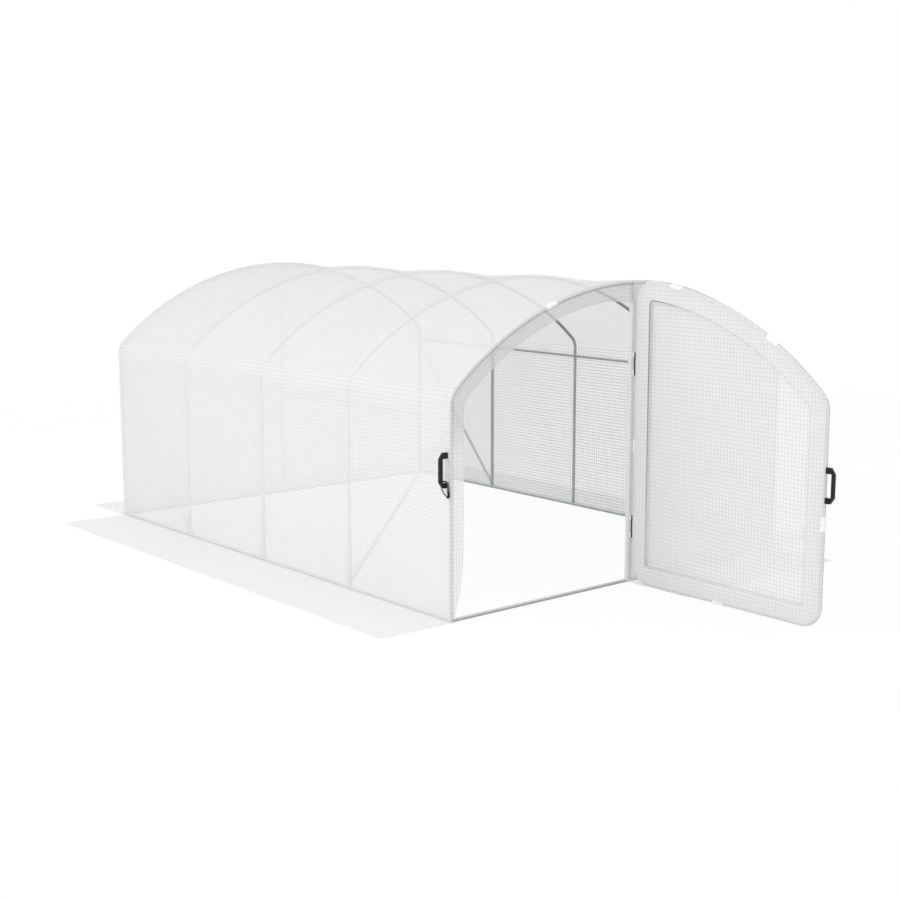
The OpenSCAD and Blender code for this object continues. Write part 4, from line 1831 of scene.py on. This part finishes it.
@dataclass
class Fasteners:
    """Bolts through the tube joints and screws of the hinges, sized as the tree of bolts names its inputs."""

    hoop: HoopLine
    palette: Palette
    trees: Trees
    bolt: tuple[float, ...] = (5.8 * MM, 4.0 * MM, 7.5 * MM, 1.4 * MM, 6, 7)
    screw: tuple[float, ...] = (1.7 * MM, 0.8 * MM, 1.9 * MM, 0.6 * MM, 16, 11)
    foot_z: float = 0.045
    purlin_z: float = 1.222
    under_bend: float = 0.02
    hinge_zs: tuple[float, ...] = (0.372, 1.420)
    screw_zs: tuple[float, ...] = (-0.026, 0.0, 0.026)
    screw_at: Point2 = (-0.0035, -0.0181)

    def scatter(self, name: str, rows: list[Ray], sizes: tuple[float, ...], slot: Slot) -> Object:
        """Stands a fastener at every place.

        Args:
            name: name of the piece.
            rows: places with the direction each head faces.
            sizes: sizes for the tree's inputs.
            slot: material slot of the record; not used.

        Returns:
            The piece.
        """
        mesh = bpy.data.meshes.new(name)
        mesh.from_pydata([at for at, _ in rows], [], [])
        axis = mesh.attributes.new("axis", "FLOAT_VECTOR", "POINT")
        axis.data.foreach_set("vector", [c for _, way in rows for c in way])
        obj = new_object(name, mesh)
        values = dict(zip(self.trees.bolt_sizes + self.trees.bolt_counts, sizes))
        run_tree(obj, self.trees.bolts, {**values, "Metal": self.palette.bolt})
        smooth(obj.data)
        ride_as(obj, Body.TUNNEL, slot)
        log.info("%s: %d heads", name, len(rows))
        return obj

    def build(self) -> list[Object]:
        """Builds bolts and screws.

        Returns:
            The pieces.
        """
        inner = self.hoop.half_w - self.hoop.tube_r
        bay = self.hoop.length / self.hoop.bays
        levels = (self.foot_z, self.purlin_z, self.hoop.bend_z - self.under_bend)
        ys = [k * bay for k in range(self.hoop.bays + 1)]
        joints = [
            ((side * inner, y, z), (-side, 0.0, 0.0)) for side in (-1.0, 1.0) for y in ys for z in levels
        ]
        posts = [((*self.screw_at, z + dz), (0.0, -1.0, 0.0)) for z in self.hinge_zs for dz in self.screw_zs]
        return [
            self.scatter("tube_bolts", joints, self.bolt, Slot.TUBE),
            self.scatter("hinge_post_screws", posts, self.screw, Slot.HINGE),
        ]


@dataclass
class TubeFrame:
    """Steel tubes and hinges, carried over from the solids with their finishes."""

    palette: Palette
    hoops: tuple[str, ...] = ("hoop_front", "hoop_second", "hoop_middle", "hoop_fourth", "hoop_back")
    pairs: tuple[str, ...] = ("posts", "ground_rails", "purlins", "braces")
    bars: tuple[str, ...] = ("centre_post_front", "threshold_bar", "back_ground_bar", "door_frame")
    bright_tubes: tuple[str, ...] = ("centre_post_back",)
    hinges: tuple[str, ...] = ("hinge_post_leaves", "hinge_door_leaves")
    plated: str = "hinge_post_leaves"
    plate_y: float = -0.0315

    def dress(self, nodes: dict[str, Object]) -> None:
        """Gives the solids their finishes.

        Args:
            nodes: solids by name.
        """
        sides = [f"{pair}_{side}" for pair in self.pairs for side in ("left", "right")]
        for names, material in (
            ((*self.hoops, *sides, *self.bars), self.palette.tube),
            (self.bright_tubes, self.palette.bright_tube),
            (self.hinges, self.palette.hinge),
        ):
            for name in names:
                for place in nodes[name].material_slots:
                    place.material = material
                log.info("%s: carried over", name)
        leaves = nodes[self.plated]
        leaves.data.materials.append(self.palette.plate)
        for polygon in leaves.data.polygons:
            if (leaves.matrix_world @ polygon.center).y > self.plate_y:
                polygon.material_index = len(leaves.data.materials) - 1


# Studio


@dataclass
class Studio:
    """Pale floor, soft light and the camera."""

    eye: Point3 = (-6.8315, -6.4049, 2.3987)
    yaw: float = 39.83
    pitch: float = 9.358
    roll: float = 0.064
    lens: float = 58.925
    sky: float = 0.98
    floor_glow: float = 0.90
    glow_from: Point2 = (7.0, 16.0)
    floor_half: float = 60.0
    aim: Point3 = (0.0, 1.5, 0.8)
    lamps: tuple[tuple[str, Point3, float, float], ...] = (
        ("key", (-8.0, 1.0, 7.0), 6.0, 260.0),
        ("fill", (5.0, -7.0, 7.0), 7.0, 30.0),
    )

    def camera(self) -> None:
        """Places the camera."""
        data = bpy.data.cameras.new("camera")
        data.lens = self.lens
        data.sensor_width = 36.0
        data.clip_end = 200.0
        obj = new_object("camera", data)
        turns = ((-self.yaw, "Z"), (90 - self.pitch, "X"), (-self.roll, "Z"))
        yaw, tip, roll = (Matrix.Rotation(math.radians(angle), 4, axis) for angle, axis in turns)
        obj.matrix_world = Matrix.Translation(self.eye) @ (yaw @ tip @ roll)
        bpy.context.scene.camera = obj

    def seen_rays(self, tree: Tree) -> Socket:
        """Adds a test for rays that show the background.

        Args:
            tree: tree to add to.

        Returns:
            Socket that is 1 for camera, glossy and transmission rays.
        """
        rays = add_node(tree, "ShaderNodeLightPath")
        two = maths(tree, "MAXIMUM", rays["Is Camera Ray"], rays["Is Glossy Ray"])
        return maths(tree, "MAXIMUM", two, rays["Is Transmission Ray"])

    def world(self) -> None:
        """Makes an even white sky that shows as plain white."""
        world = bpy.data.worlds.new("studio")
        world.use_nodes = True
        tree = world.node_tree
        tree.nodes.clear()
        level = ranged(tree, self.seen_rays(tree), end=(self.sky, 1.0))
        back = add_node(tree, "ShaderNodeBackground", {"Color": (1, 1, 1, 1), "Strength": level})[0]
        add_node(tree, "ShaderNodeOutputWorld", {0: back})
        bpy.context.scene.world = world

    def floor(self) -> None:
        """Lays a pale floor that shows white and keeps a soft shadow."""
        material, tree = blank_material("studio_floor")
        matt = add_node(tree, "ShaderNodeBsdfDiffuse", {"Color": linear("#f4f4f4")})[0]
        glow = add_node(tree, "ShaderNodeEmission", {"Color": (1, 1, 1, 1), "Strength": 1.0})[0]
        away = add_node(tree, "ShaderNodeVectorMath", {0: spot(tree)}, {"operation": "LENGTH"})["Value"]
        level = ranged(tree, away, self.glow_from, (self.floor_glow, 1.0), eased=True)
        share = maths(tree, "MULTIPLY", self.seen_rays(tree), level)
        add_node(tree, "ShaderNodeOutputMaterial", {0: mixed(tree, share, matt, glow)})
        mesh = bpy.data.meshes.new("floor")
        r = self.floor_half
        mesh.from_pydata([(-r, -r, -MM), (r, -r, -MM), (r, r, -MM), (-r, r, -MM)], [], [(0, 1, 2, 3)])
        mesh.materials.append(material)
        new_object("floor", mesh)

    def lamp(self, name: str, at: Point3, size: float, watts: float) -> None:
        """Adds a soft square lamp that faces the tunnel's middle.

        Args:
            name: name of the lamp.
            at: its place.
            size: its side.
            watts: its power.
        """
        data = bpy.data.lights.new(name, "AREA")
        data.size = size
        data.energy = watts
        way = Vector(self.aim) - Vector(at)
        turn = way.to_track_quat("-Z", "Y").to_matrix().to_4x4()
        new_object(name, data).matrix_world = Matrix.Translation(at) @ turn

    def build(self) -> None:
        """Builds the studio."""
        self.camera()
        self.world()
        self.floor()
        for lamp in self.lamps:
            self.lamp(*lamp)
        scene = bpy.context.scene
        scene.view_settings.view_transform = "Standard"
        scene.cycles.transparent_max_bounces = 32


def main() -> None:
    """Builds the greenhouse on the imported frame."""
    logging.basicConfig(level=logging.INFO, format="%(name)s %(message)s")
    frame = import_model()
    hoop, door = HoopLine(), DoorLine()
    Studio().build()
    palette, trees = Palette(), Trees()
    maker = FilmMaker(trees)
    TubeFrame(palette).dress(frame["nodes"])
    Cover(hoop, palette, maker).build()
    EndPanels(hoop, palette, maker).build()
    Skirts(hoop, palette, maker).build()
    DoorCover(door, palette, maker).build()
    jamb_x, jamb_y, jamb_z = -hoop.half_w - 0.0151, 0.012, 0.8035
    door_seat, door_z = 0.0136, 0.7505
    edge = door.width + door_seat
    Grip(
        "jamb_grip",
        "jamb_handle",
        Body.TUNNEL,
        lambda d, c, z: (jamb_x - d, jamb_y + c, jamb_z + z),
        palette,
        low_arm=0.0290,
    ).build()
    Grip(
        "door_grip",
        "door_handle",
        Body.DOOR,
        lambda d, c, z: door.place(edge + d, door_z + z, c),
        palette,
        seat_r=door_seat,
        reach=0.0535,
        bar=0.0185,
    ).build()
    SnapHook(palette).build()
    Clips(hoop, door, palette).build()
    Fasteners(hoop, palette, trees).build()


if __name__ == "__main__":
    main()
